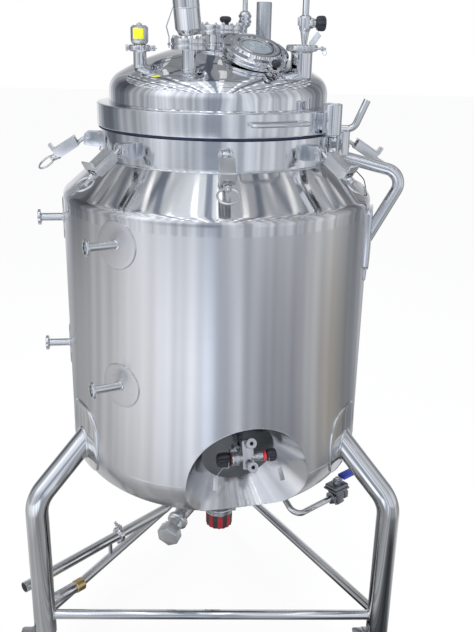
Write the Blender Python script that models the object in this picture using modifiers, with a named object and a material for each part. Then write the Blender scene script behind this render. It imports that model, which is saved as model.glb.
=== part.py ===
"""Jacketed process vessel on three bent tube legs.

The lid is held by eight swing clamps that turn on pins between lugs on the body
flange. An oblique funnel in the lower front of the jacket gives room for the
outlet valve block. Metres, Z up, the floor at z = 0 and the front of the vessel
towards -Y. Pieces are made round the vessel's axis at x = y = 0, and at the end
all of them move together so that the origin is in the middle of the base.
"""
import math

import bmesh
import bpy
import numpy as np
from mathutils import Matrix, Vector

# ---- Driving sizes ---------------------------------------------------------
GASKET_Z = 1.860            # underside of the lid gasket above the floor
GAP = 0.0003                # air left between pieces that touch

SHELL_R = 0.500             # jacket, outside
SHELL_T = 0.004
SHOULDER_TOP_R = 0.3745     # where the sloping shoulder leaves the body flange
SHOULDER_DROP = 0.0885
SHOULDER_ARC_R = 0.034
SHELL_TOP_DROP = 0.215      # start of the straight jacket, below the gasket
SHELL_END_DROP = 1.035      # end of the straight jacket
KNUCKLE_R = 0.140
CROWN_R = 1.000

INNER_R = 0.345
INNER_T = 0.006
INNER_END_DROP = 0.960

FLANGE_R = 0.373            # body flange, outside
LID_R = 0.383               # lid flange, outside
LID_H = 0.0690
GASKET_T = 0.0055
DOME_R = 0.3446
DOME_T = 0.005
DOME_STRAIGHT = 0.107       # straight part of the dome ends this high
DOME_KNUCKLE_R = 0.065
DOME_CROWN_R = 0.600

CLAMP_AZ = (-87.0, -44.5, 3.0, 48.0, 93.0, 138.0, 183.0, 228.0)
RING_DEG = (0.0, 0.0, 18.0, 0.0, 0.0, 0.0, -20.0, 0.0)   # ring nuts, turned on their bolts
CLAMP_PIN_R = 0.414         # distance of the pins from the vessel's axis
CLAMP_PIN_DROP = 0.033      # pins below the gasket
CLAMP_REST_DEG = 32.5       # an open clamp hangs this far below level
CLAMP_PIN_T = 0.0120
EYE_W = 0.0190
BOLT_R = 0.0062
REST_BAR_R = 0.0040

LEG_OUT = 0.175             # legs' centre lines, outside the jacket
LEG_R = SHELL_R + LEG_OUT
LEG_TUBE_R = 0.038
LEG_BEND_R = 0.115
LEG_PAD_DROP = SHELL_END_DROP - 0.050   # middle of the pads on the jacket
LEG_BEND_DROP = 1.180
LEG_END_DROP = 1.700
LEG_AZ = {"leg_left": -150.0, "leg_right": -30.0, "leg_rear": 90.0}
RAIL_DROP = 1.640
RAIL_TUBE_R = 0.0168

HANDLE_AZ = -12.0
HANDLE_OUT = 0.104          # push handle's upper corner, outside the jacket
HANDLE_TUBE_R = 0.019
HANDLE_BEND_R = 0.046
HANDLE_PLATE_T = 0.014
HANDLE_TOE_T = 0.006
NOZZLE_DROPS = {"upper": 0.292, "lower": 0.730}
NOZZLE_TUBE_R = 0.0127
NOZZLE_BORE_R = 0.0109
FERRULE_R = 0.02525
DRAIN_DROP = 1.563          # level run of the drain pipe
DRAIN_TUBE_R = 0.0190
SIDE_PIPE_LOW = 0.0504      # side pipe's level run, below the bottom where it starts
SIDE_PIPE_R = 0.0106
LEVER_UP = 0.0640           # lever above the middle of the ball valve

FUNNEL_AZ = -75.8
FUNNEL_TILT_DEG = 15.5      # the funnel looks this far below level
FUNNEL_THROAT = Vector((0.0767, -0.3439, -0.9874))
FUNNEL_THROAT_R = 0.1194
FUNNEL_HALF_ANGLE = 34.2
FUNNEL_BACK_T = 0.006       # plate that closes the throat
FUNNEL_T = 0.003
VALVE_AZ = -77.0
VALVE_AT = Vector((0.1040, -0.4150, -0.9695))
VALVE_LIFT_DEG = 20.0
VALVE_PORT_L = 0.035
VALVE_PORT_HIGH = 0.047
VALVE_PORT_LOW = -0.027

WIDE = 30                   # facets round the jacket, the flanges and the dome
MIDDLE = 18                 # facets round the hatch, the port and the funnel
SMALL = 10                  # facets round a nozzle or a knob
TINY = 8                    # facets round a pin or a screw

# ---- Helpers ---------------------------------------------------------------
parts = None
cutters = None


def clear_scene():
    for item in list(bpy.data.objects):
        bpy.data.objects.remove(item, do_unlink=True)


def make_collections():
    global parts, cutters
    parts = bpy.data.collections.new("process_vessel")
    cutters = bpy.data.collections.new("cutters")
    bpy.context.scene.collection.children.link(parts)
    bpy.context.scene.collection.children.link(cutters)


def material(name, colour, metallic, roughness):
    mat = bpy.data.materials.new(name)
    mat.use_nodes = True
    shader = mat.node_tree.nodes["Principled BSDF"]
    shader.inputs["Base Color"].default_value = (*colour, 1.0)
    shader.inputs["Metallic"].default_value = metallic
    shader.inputs["Roughness"].default_value = roughness
    return mat


def steel(name, shade=0.62, roughness=0.22):
    return material(name + "_mat", (shade, shade, shade * 1.02), 1.0, roughness)


def place(obj, mat):
    """Put a finished piece in the collection of parts with its own material."""
    obj.data.materials.clear()
    obj.data.materials.append(mat)
    for owner in list(obj.users_collection):
        owner.objects.unlink(obj)
    parts.objects.link(obj)
    obj.data.shade_smooth()
    obj.data.set_sharp_from_angle(angle=math.radians(32.0))
    return obj


def as_tool(obj):
    """Keep a body that only cuts or joins another out of sight."""
    for owner in list(obj.users_collection):
        owner.objects.unlink(obj)
    cutters.objects.link(obj)
    obj.hide_render = True
    obj.display_type = "WIRE"
    return obj


def boolean(obj, tool, operation):
    step = obj.modifiers.new(operation.lower(), "BOOLEAN")
    step.operation = operation
    step.solver = "EXACT"
    step.object = as_tool(tool)
    return obj


def cut(obj, tool):
    return boolean(obj, tool, "DIFFERENCE")


def unite(obj, *others):
    for other in others:
        boolean(obj, other, "UNION")
    return obj


def mesh_object(name, bm, frame=Matrix.Identity(4)):
    mesh = bpy.data.meshes.new(name)
    bm.to_mesh(mesh)
    bm.free()
    obj = bpy.data.objects.new(name, mesh)
    obj.matrix_world = frame
    bpy.context.scene.collection.objects.link(obj)
    return obj


def frame_along(origin, direction, roll_to=(0.0, 0.0, 1.0)):
    """A frame whose Z runs along direction and whose X leans towards roll_to."""
    z_axis = Vector(direction).normalized()
    hint = Vector(roll_to)
    if abs(hint.normalized().dot(z_axis)) > 0.99:
        hint = Vector((1.0, 0.0, 0.0))
    x_axis = (hint - z_axis * hint.dot(z_axis)).normalized()
    y_axis = z_axis.cross(x_axis)
    turn = Matrix((x_axis, y_axis, z_axis)).transposed().to_4x4()
    return Matrix.Translation(Vector(origin)) @ turn


def revolve(name, profile, steps=WIDE, frame=Matrix.Identity(4), closed=None):
    """Turn a profile of (radius, height) about Z; its outer side runs downwards."""
    if closed is None:
        closed = profile[0][0] > 0.0 and profile[-1][0] > 0.0
    count = len(profile)
    edges = [(i, i + 1) for i in range(count - 1)]
    if closed:
        edges.append((count - 1, 0))
    mesh = bpy.data.meshes.new(name)
    mesh.from_pydata([(r, 0.0, z) for r, z in profile], edges, [])
    obj = bpy.data.objects.new(name, mesh)
    obj.matrix_world = frame
    bpy.context.scene.collection.objects.link(obj)
    turn = obj.modifiers.new("turn", "SCREW")
    turn.axis = "Z"
    turn.angle = 2.0 * math.pi
    turn.steps = steps
    turn.render_steps = steps
    turn.use_merge_vertices = True
    turn.merge_threshold = 0.0001
    turn.use_smooth_shade = True
    return obj


def disc(name, radius, bottom, top, frame=Matrix.Identity(4), steps=SMALL, chamfer=0.0):
    """A round bar or disc, with its top edge chamfered where asked."""
    if chamfer > 0.0:
        profile = [(0.0, top), (radius - chamfer, top), (radius, top - chamfer),
                   (radius, bottom), (0.0, bottom)]
    else:
        profile = [(0.0, top), (radius, top), (radius, bottom), (0.0, bottom)]
    return revolve(name, profile, steps, frame)


def around(name, radius, bottom, top, frame=Matrix.Identity(4), steps=24):
    """A cutter whose flats, and not its corners, clear a bar of this radius."""
    return disc(name, (radius + GAP) / math.cos(math.pi / steps), bottom, top, frame, steps)


def ring(name, outer, inner, bottom, top, frame=Matrix.Identity(4), steps=WIDE):
    profile = [(outer, top), (outer, bottom), (inner, bottom), (inner, top)]
    return revolve(name, profile, steps, frame)


def block(name, low, high, frame=Matrix.Identity(4), bevel=0.0, segments=2):
    bm = bmesh.new()
    bmesh.ops.create_cube(bm, size=1.0)
    size = [high[i] - low[i] for i in range(3)]
    centre = [(high[i] + low[i]) / 2.0 for i in range(3)]
    bmesh.ops.scale(bm, vec=size, verts=bm.verts)
    bmesh.ops.translate(bm, vec=centre, verts=bm.verts)
    if bevel > 0.0:
        bmesh.ops.bevel(bm, geom=list(bm.edges), offset=bevel, segments=segments,
                        affect="EDGES", profile=0.5)
    return mesh_object(name, bm, frame)


def prism(name, outline, low, high, frame=Matrix.Identity(4)):
    """Extrude a flat outline, given anticlockwise in X and Y, from low to high."""
    bm = bmesh.new()
    floor = [bm.verts.new((x, y, low)) for x, y in outline]
    roof = [bm.verts.new((x, y, high)) for x, y in outline]
    bm.faces.new(list(reversed(floor)))
    bm.faces.new(roof)
    count = len(outline)
    for i in range(count):
        j = (i + 1) % count
        bm.faces.new((floor[i], floor[j], roof[j], roof[i]))
    return mesh_object(name, bm, frame)


def rounded(points, radius, steps=6):
    """Replace the corners of a line of points by arcs of the given radius."""
    points = [Vector(p) for p in points]
    line = [points[0]]
    for before, corner, after in zip(points, points[1:], points[2:]):
        back = (before - corner).normalized()
        ahead = (after - corner).normalized()
        half = back.angle(ahead) / 2.0
        reach = radius / math.tan(half)
        centre = corner + (back + ahead).normalized() * radius / math.sin(half)
        start = corner + back * reach - centre
        end = corner + ahead * reach - centre
        sweep = start.angle(end)
        normal = start.cross(end).normalized()
        for i in range(steps + 1):
            line.append(centre + Matrix.Rotation(sweep * i / steps, 3, normal) @ start)
    line.append(points[-1])
    return line


def tube(name, points, radius, bend=0.0, sides=2, bend_steps=4):
    """A round bar along a line of points, as a mesh that can be cut."""
    line = rounded(points, bend, bend_steps) if bend > 0.0 else [Vector(p) for p in points]
    curve = bpy.data.curves.new(name + "_path", "CURVE")
    curve.dimensions = "3D"
    curve.bevel_depth = radius
    curve.bevel_resolution = sides
    curve.use_fill_caps = True
    spline = curve.splines.new("POLY")
    spline.points.add(len(line) - 1)
    for slot, point in zip(spline.points, line):
        slot.co = (*point, 1.0)
    guide = bpy.data.objects.new(name + "_path", curve)
    bpy.context.scene.collection.objects.link(guide)
    bpy.context.view_layer.update()
    graph = bpy.context.evaluated_depsgraph_get()
    mesh = bpy.data.meshes.new_from_object(guide.evaluated_get(graph))
    mesh.name = name
    bpy.data.objects.remove(guide, do_unlink=True)
    bm = bmesh.new()
    bm.from_mesh(mesh)
    bmesh.ops.remove_doubles(bm, verts=bm.verts, dist=0.00001)
    bmesh.ops.recalc_face_normals(bm, faces=bm.faces)
    bm.to_mesh(mesh)
    bm.free()
    obj = bpy.data.objects.new(name, mesh)
    bpy.context.scene.collection.objects.link(obj)
    return obj


def arc(radius, centre, start_deg, end_deg, steps):
    """Points of an arc in the plane of radius and height."""
    out = []
    for i in range(steps + 1):
        a = math.radians(start_deg + (end_deg - start_deg) * i / steps)
        out.append((centre[0] + radius * math.cos(a), centre[1] + radius * math.sin(a)))
    return out


def out_from_axis(azimuth_deg, radius, height):
    a = math.radians(azimuth_deg)
    return Vector((radius * math.cos(a), radius * math.sin(a), height))


def radial_frame(azimuth_deg, radius, height):
    """X runs outwards, Y along the rim and Z up."""
    turn = Matrix.Rotation(math.radians(azimuth_deg), 4, "Z")
    return Matrix.Translation(out_from_axis(azimuth_deg, radius, height)) @ turn


def dished(radius, knuckle, crown, steps_knuckle, steps_crown, grow=0.0):
    """A dished end below height 0, from its rim to its lowest point on the axis.

    The knuckle arc is tangent to the wall and to the crown arc. grow moves the
    whole line outwards, as a second skin on the same form.
    """
    lean = math.degrees(math.asin((radius - knuckle) / (crown - knuckle)))
    line = arc(knuckle + grow, (radius - knuckle, 0.0), 0.0, -(90.0 - lean), steps_knuckle)
    height = math.cos(math.radians(lean)) * (crown - knuckle)
    line += arc(crown + grow, (0.0, height), -(90.0 - lean), -90.0, steps_crown)[1:]
    line[-1] = (0.0, line[-1][1])
    return line


def shift(line, rise):
    return [(r, z + rise) for r, z in line]


# ---- Jacket, shoulder and bottom -------------------------------------------
def shoulder_line(grow, steps=3):
    """Outer line of the shoulder: a cone that a small arc carries into the wall."""
    radius = SHOULDER_ARC_R
    centre = (SHELL_R - radius, -SHELL_TOP_DROP)
    start = Vector((SHOULDER_TOP_R, -SHOULDER_DROP))
    # The cone leaves the top point and touches the arc.
    to_centre = Vector(centre) - start
    lean = math.degrees(math.asin(radius / to_centre.length))
    slope = math.degrees(math.atan2(to_centre.y, to_centre.x)) + lean
    line = arc(radius + grow, centre, 90.0 + slope, 0.0, steps)
    lift = Vector((math.cos(math.radians(90.0 + slope)), math.sin(math.radians(90.0 + slope))))
    top = start + lift * grow
    return [(top.x, top.y)] + line


def jacket_line(grow=0.0):
    """Outer line of the whole jacket from the shoulder to the lowest point."""
    wall = [(SHELL_R + grow, -SHELL_END_DROP)]
    end = shift(dished(SHELL_R, KNUCKLE_R, CROWN_R, 4, 3, grow), -SHELL_END_DROP)
    return shoulder_line(grow) + wall + end[1:]


def jacket_solid(name, grow):
    """The jacket's outer form as a full body, used to trim what meets it."""
    line = jacket_line(grow)
    line = [(0.0, line[0][1] + 0.02), (line[0][0], line[0][1] + 0.02)] + line[1:]
    return revolve(name, shift(line, GASKET_Z), WIDE)


def funnel_frame():
    a = math.radians(FUNNEL_AZ)
    tilt = math.radians(FUNNEL_TILT_DEG)
    look = Vector((math.cos(a) * math.cos(tilt), math.sin(a) * math.cos(tilt), -math.sin(tilt)))
    return frame_along(FUNNEL_THROAT + Vector((0.0, 0.0, GASKET_Z)), look)


def funnel_cone(name, start, end, grow):
    spread = math.tan(math.radians(FUNNEL_HALF_ANGLE))
    thick = grow / math.cos(math.radians(FUNNEL_HALF_ANGLE))
    low = FUNNEL_THROAT_R + start * spread + thick
    high = FUNNEL_THROAT_R + end * spread + thick
    profile = [(0.0, end), (high, end), (low, start), (0.0, start)]
    return revolve(name, profile, MIDDLE + 8, funnel_frame())


def build_shell():
    outer = shoulder_line(0.0) + [(SHELL_R, -SHELL_END_DROP + GAP)]
    inner = [(SHELL_R - SHELL_T, -SHELL_END_DROP + GAP)]
    inner += list(reversed(shoulder_line(-SHELL_T, 1)))
    shell = revolve("jacket_shell", shift(outer + inner, GASKET_Z))
    cut(shell, funnel_cone("shell_cutter", -0.02, 0.30, FUNNEL_T + GAP))
    place(shell, steel("jacket_shell", 0.58, 0.34))

    low = shift(dished(SHELL_R, KNUCKLE_R, CROWN_R, 4, 3), -SHELL_END_DROP)
    high = shift(dished(SHELL_R, KNUCKLE_R, CROWN_R, 3, 2, -SHELL_T), -SHELL_END_DROP)
    head = revolve("jacket_bottom", shift(list(reversed(high)) + low, GASKET_Z))
    cut(head, funnel_cone("bottom_cutter", -0.02, 0.30, FUNNEL_T + GAP))
    place(head, steel("jacket_bottom", 0.55, 0.32))


def build_inner_vessel():
    top = -SHOULDER_DROP - GAP
    out_line = shift(dished(INNER_R, 0.070, 0.690, 2, 3), -INNER_END_DROP)
    in_line = shift(dished(INNER_R, 0.070, 0.690, 2, 2, -INNER_T), -INNER_END_DROP)
    profile = list(reversed(in_line)) + [(INNER_R - INNER_T, top), (INNER_R, top)] + out_line
    vessel = revolve("inner_vessel", shift(profile, GASKET_Z), MIDDLE + 8)
    place(vessel, steel("inner_vessel", 0.6, 0.2))


def build_funnel():
    """The funnel's wall follows the jacket exactly where the two meet."""
    spread = math.tan(math.radians(FUNNEL_HALF_ANGLE))
    thick = FUNNEL_T / math.cos(math.radians(FUNNEL_HALF_ANGLE))
    r0 = FUNNEL_THROAT_R
    end = 0.29
    profile = [(0.0, 0.0), (r0, 0.0), (r0 + end * spread, end), (r0 + end * spread + thick, end),
               (r0 + thick, 0.0), (r0 + thick - 0.002, -FUNNEL_BACK_T), (0.0, -FUNNEL_BACK_T)]
    funnel = revolve("outlet_funnel", profile, MIDDLE + 8, funnel_frame())
    boolean(funnel, jacket_solid("funnel_trim", -GAP), "INTERSECT")
    place(funnel, steel("outlet_funnel", 0.6, 0.26))


# ---- Body flange with its clamp lugs ---------------------------------------
def lug_pair(name, azimuth):
    """Two ears with a pin hole and a bar that an open clamp's bolt rests on."""
    frame = radial_frame(azimuth, CLAMP_PIN_R, GASKET_Z - CLAMP_PIN_DROP)
    turn = frame @ Matrix.Rotation(math.radians(90.0), 4, "X")
    ear = [(-0.044, -0.034), (0.0150, -0.0280), (0.0120, 0.0060), (0.0030, 0.0135),
           (-0.044, 0.0135)]
    bodies = []
    for near in (EYE_W / 2.0 + 0.002, -EYE_W / 2.0 - 0.009):
        bodies.append(prism(name + "_ear", ear, near, near + 0.007, turn))
    # The open clamp's bolt lies on a bar between the ears.
    lean = math.radians(CLAMP_REST_DEG)
    below = BOLT_R + REST_BAR_R + GAP
    bar_at = Vector((0.020 * math.cos(lean) - below * math.sin(lean),
                     -0.020 * math.sin(lean) - below * math.cos(lean), 0.0))
    bar = disc(name + "_bar", REST_BAR_R, -EYE_W / 2.0 - 0.004, EYE_W / 2.0 + 0.004,
               turn @ Matrix.Translation(bar_at), 6)
    hole = disc(name + "_hole", CLAMP_PIN_T / 2.0 + 0.0010, -0.03, 0.03, turn, 8)
    return bodies + [bar], hole


def build_body_flange():
    profile = [(FLANGE_R - 0.003, -GAP), (FLANGE_R, -0.003), (FLANGE_R, -0.074),
               (SHOULDER_TOP_R - 0.0006, -SHOULDER_DROP + 0.0003),
               (INNER_R - INNER_T, -SHOULDER_DROP + 0.0003), (INNER_R - INNER_T, -GAP)]
    flange = revolve("body_flange", shift(profile, GASKET_Z))
    for number, azimuth in enumerate(CLAMP_AZ):
        bodies, hole = lug_pair("lug_%d" % number, azimuth)
        unite(flange, *bodies)
        cut(flange, hole)
    place(flange, steel("body_flange", 0.62, 0.18))


def build_swing_clamp(number, azimuth):
    """Eye bolt, hooked channel and ring nut as they hang when the lid is free."""
    name = "swing_clamp_%d" % number
    frame = (radial_frame(azimuth, CLAMP_PIN_R, GASKET_Z - CLAMP_PIN_DROP)
             @ Matrix.Rotation(math.radians(CLAMP_REST_DEG), 4, "Y"))
    across = frame @ Matrix.Rotation(math.radians(90.0), 4, "X")
    along = frame @ Matrix.Rotation(math.radians(90.0), 4, "Y")
    # Side view of the channel's web with the hook at its far end.
    web = [(0.039, 0.019), (0.124, 0.019), (0.124, 0.041), (0.121, 0.0445), (0.118, 0.0420),
           (0.118, 0.0270), (0.1150, 0.025), (0.039, 0.025)]
    clamp = prism(name, web, -0.022, 0.022, across)
    cheek = [(0.041, -0.010), (0.112, -0.010), (0.1225, 0.002), (0.1225, 0.022), (0.041, 0.022)]
    tools = [prism(name + "_cheek", cheek, 0.017, 0.0215, across),
             prism(name + "_cheek", cheek, -0.0215, -0.017, across),
             block(name + "_bridge", (0.107, -0.019, -0.008), (0.112, 0.019, 0.021), frame),
             disc(name + "_eye", 0.0115, -EYE_W / 2.0, EYE_W / 2.0, across, 8),
             disc(name + "_pin", CLAMP_PIN_T / 2.0, -0.0215, 0.0215, across, 8),
             disc(name + "_bolt", BOLT_R, 0.0, 0.140, along, 6),
             disc(name + "_nut", 0.0125, 0.1185, 0.136, along, 6),
             ring_nut(name + "_ring",
                      frame @ Matrix.Rotation(math.radians(RING_DEG[number - 1]), 4, "X"))]
    unite(clamp, *tools)
    place(clamp, steel(name, 0.66, 0.2))
    # The origin goes on the pin, the axis that the clamp turns about.
    set_origin(clamp, frame)


def ring_nut(name, frame):
    wire = 0.0034
    radius = 0.0290
    profile = [(radius + x, z) for x, z in arc(wire, (0.0, 0.0), 180.0, -180.0, 4)[:-1]]
    return revolve(name, profile, TINY, frame @ Matrix.Translation((0.1615, 0.0, 0.0)), True)


def set_origin(obj, frame):
    """Move an object's origin to a frame without moving its shape."""
    obj.data.transform(frame.inverted() @ obj.matrix_world)
    obj.matrix_world = frame


# ---- Lid -------------------------------------------------------------------
def lid_line(grow=0.0, knuckle_steps=3, crown_steps=3):
    """Outer line of the dome from the middle of the crown down to its rim."""
    down = dished(DOME_R, DOME_KNUCKLE_R, DOME_CROWN_R, knuckle_steps, crown_steps, grow)
    return [(r, DOME_STRAIGHT - z) for r, z in reversed(down)]


def dome_height(radius):
    """Height of the crown above the gasket at a distance from the axis."""
    lean = math.asin((DOME_R - DOME_KNUCKLE_R) / (DOME_CROWN_R - DOME_KNUCKLE_R))
    centre = DOME_STRAIGHT - math.cos(lean) * (DOME_CROWN_R - DOME_KNUCKLE_R)
    return centre + math.sqrt(DOME_CROWN_R ** 2 - radius ** 2)


def dome_solid(name, grow=GAP):
    profile = lid_line(grow) + [(DOME_R + grow, 0.02), (0.0, 0.02)]
    return revolve(name, shift(profile, GASKET_Z))


def build_lid():
    seal = ring("lid_gasket", LID_R - 0.0035, 0.3395, GASKET_Z, GASKET_Z + GASKET_T)
    place(seal, material("lid_gasket_mat", (0.015, 0.015, 0.017), 0.0, 0.6))

    low = GASKET_T + GAP
    top = low + LID_H
    profile = [(0.3405, top), (LID_R - 0.004, top), (LID_R, top - 0.004), (LID_R, low),
               (0.3405, low)]
    place(revolve("lid_flange", shift(profile, GASKET_Z)), steel("lid_flange", 0.66, 0.12))

    outer = lid_line() + [(DOME_R, top + GAP)]
    inner = list(reversed(lid_line(-DOME_T, 2, 2) + [(DOME_R - DOME_T, top + GAP)]))
    dome = revolve("lid_dome", shift(outer + inner, GASKET_Z), closed=False)
    hatch = disc("hatch_cutter", HATCH_BORE_R - 0.001, -0.10, 0.10, hatch_frame(), MIDDLE)
    cut(dome, hatch)
    place(dome, steel("lid_dome", 0.68, 0.08))


def on_dome(obj):
    return cut(obj, dome_solid(obj.name + "_trim"))


def ferrule_clamp(name, frame, low, radius, tail, hand=-1.0):
    """A hinged pipe clamp round two ferrules, with its swing bolt and wing nut.

    The lug is on the frame's X axis and the bolt points along Y by the sign of hand.
    """
    high = low + 0.019
    collar = revolve(name, [(radius, high - 0.004), (radius, low + 0.004),
                            (radius - 0.004, low), (radius - 0.014, low),
                            (radius - 0.014, high), (radius - 0.004, high)], SMALL + 2, frame)
    mid = (low + high) / 2.0
    lug = block(name + "_lug", (radius - 0.005, -0.0075, mid - 0.008),
                (radius + 0.014, 0.0075, mid + 0.008), frame)
    hinge = block(name + "_hinge", (-radius - 0.008, -0.006, mid - 0.0078),
                  (-radius + 0.004, 0.006, mid + 0.0078), frame)
    nut_at = frame @ Matrix.Translation((radius + 0.0075, 0.0, mid))
    screw = disc(name + "_screw", 0.0032, -0.012, 0.024 + tail,
                 nut_at @ Matrix.Rotation(math.radians(-90.0 * hand), 4, "X"), 6)
    near = 0.010 + tail if hand > 0.0 else -0.018 - tail
    wing = block(name + "_wing", (-0.012, near, -0.004), (0.012, near + 0.008, 0.004), nut_at)
    return collar, lug, hinge, screw, wing


HATCH_AT = Vector((0.1020, -0.1700, 0.2165))
HATCH_TILT_DEG = 25.0
HATCH_AZ = -62.0
HATCH_R = 0.0985
HATCH_BORE_R = 0.0710


def hatch_frame():
    """Z is the hatch's axis and X points down the slope of the dome."""
    a = math.radians(HATCH_AZ)
    t = math.radians(HATCH_TILT_DEG)
    axis = Vector((math.sin(t) * math.cos(a), math.sin(t) * math.sin(a), math.cos(t)))
    return frame_along(HATCH_AT + Vector((0.0, 0.0, GASKET_Z)), axis,
                       (math.cos(a), math.sin(a), 0.0))


def build_hatch():
    frame = hatch_frame()
    neck = revolve("hatch_neck", [(HATCH_R, 0.0160), (HATCH_R, 0.0040),
                                  (0.0790, 0.004), (0.0790, -0.050), (HATCH_BORE_R, -0.050),
                                  (HATCH_BORE_R, 0.0160)], MIDDLE + 4, frame)
    on_dome(neck)
    cheek = [(0.094, 0.006), (0.125, 0.006), (0.125, 0.0155), (0.094, 0.0155)]
    side = frame @ Matrix.Rotation(math.radians(90.0), 4, "X")
    unite(neck, prism("hatch_ear", cheek, 0.009, 0.016, side),
          prism("hatch_ear", cheek, -0.016, -0.009, side))
    place(neck, steel("hatch_neck", 0.64, 0.16))

    profile = [(0.0560, 0.0370), (0.0740, 0.0380), (0.0790, 0.0310), (HATCH_R - 0.002, 0.0290),
               (HATCH_R, 0.0270), (HATCH_R, 0.0163), (0.0560, 0.0163)]
    cover = revolve("hatch_cover", profile, MIDDLE + 4, frame)
    latch = [(0.090, 0.0175), (0.128, 0.0175), (0.128, 0.0270), (0.112, 0.0300), (0.090, 0.0300)]
    unite(cover, prism("hatch_latch", latch, -0.012, 0.012, side))
    place(cover, steel("hatch_cover", 0.68, 0.12))
    glass = disc("hatch_glass", 0.0556, 0.0190, 0.0320, frame, MIDDLE + 4)
    place(glass, material("hatch_glass_mat", (0.55, 0.6, 0.62), 0.0, 0.08))
    knob_at = frame @ Matrix.Translation((0.118, 0.0, 0.0303))
    knob = revolve("hatch_knob", [(0.0, 0.0200), (0.0090, 0.0200), (0.0130, 0.0160),
                                  (0.0135, 0.0070), (0.0080, 0.0030), (0.0070, 0.0),
                                  (0.0, 0.0)], TINY, knob_at)
    place(knob, material("hatch_knob_mat", (0.03, 0.03, 0.035), 0.0, 0.4))


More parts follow.
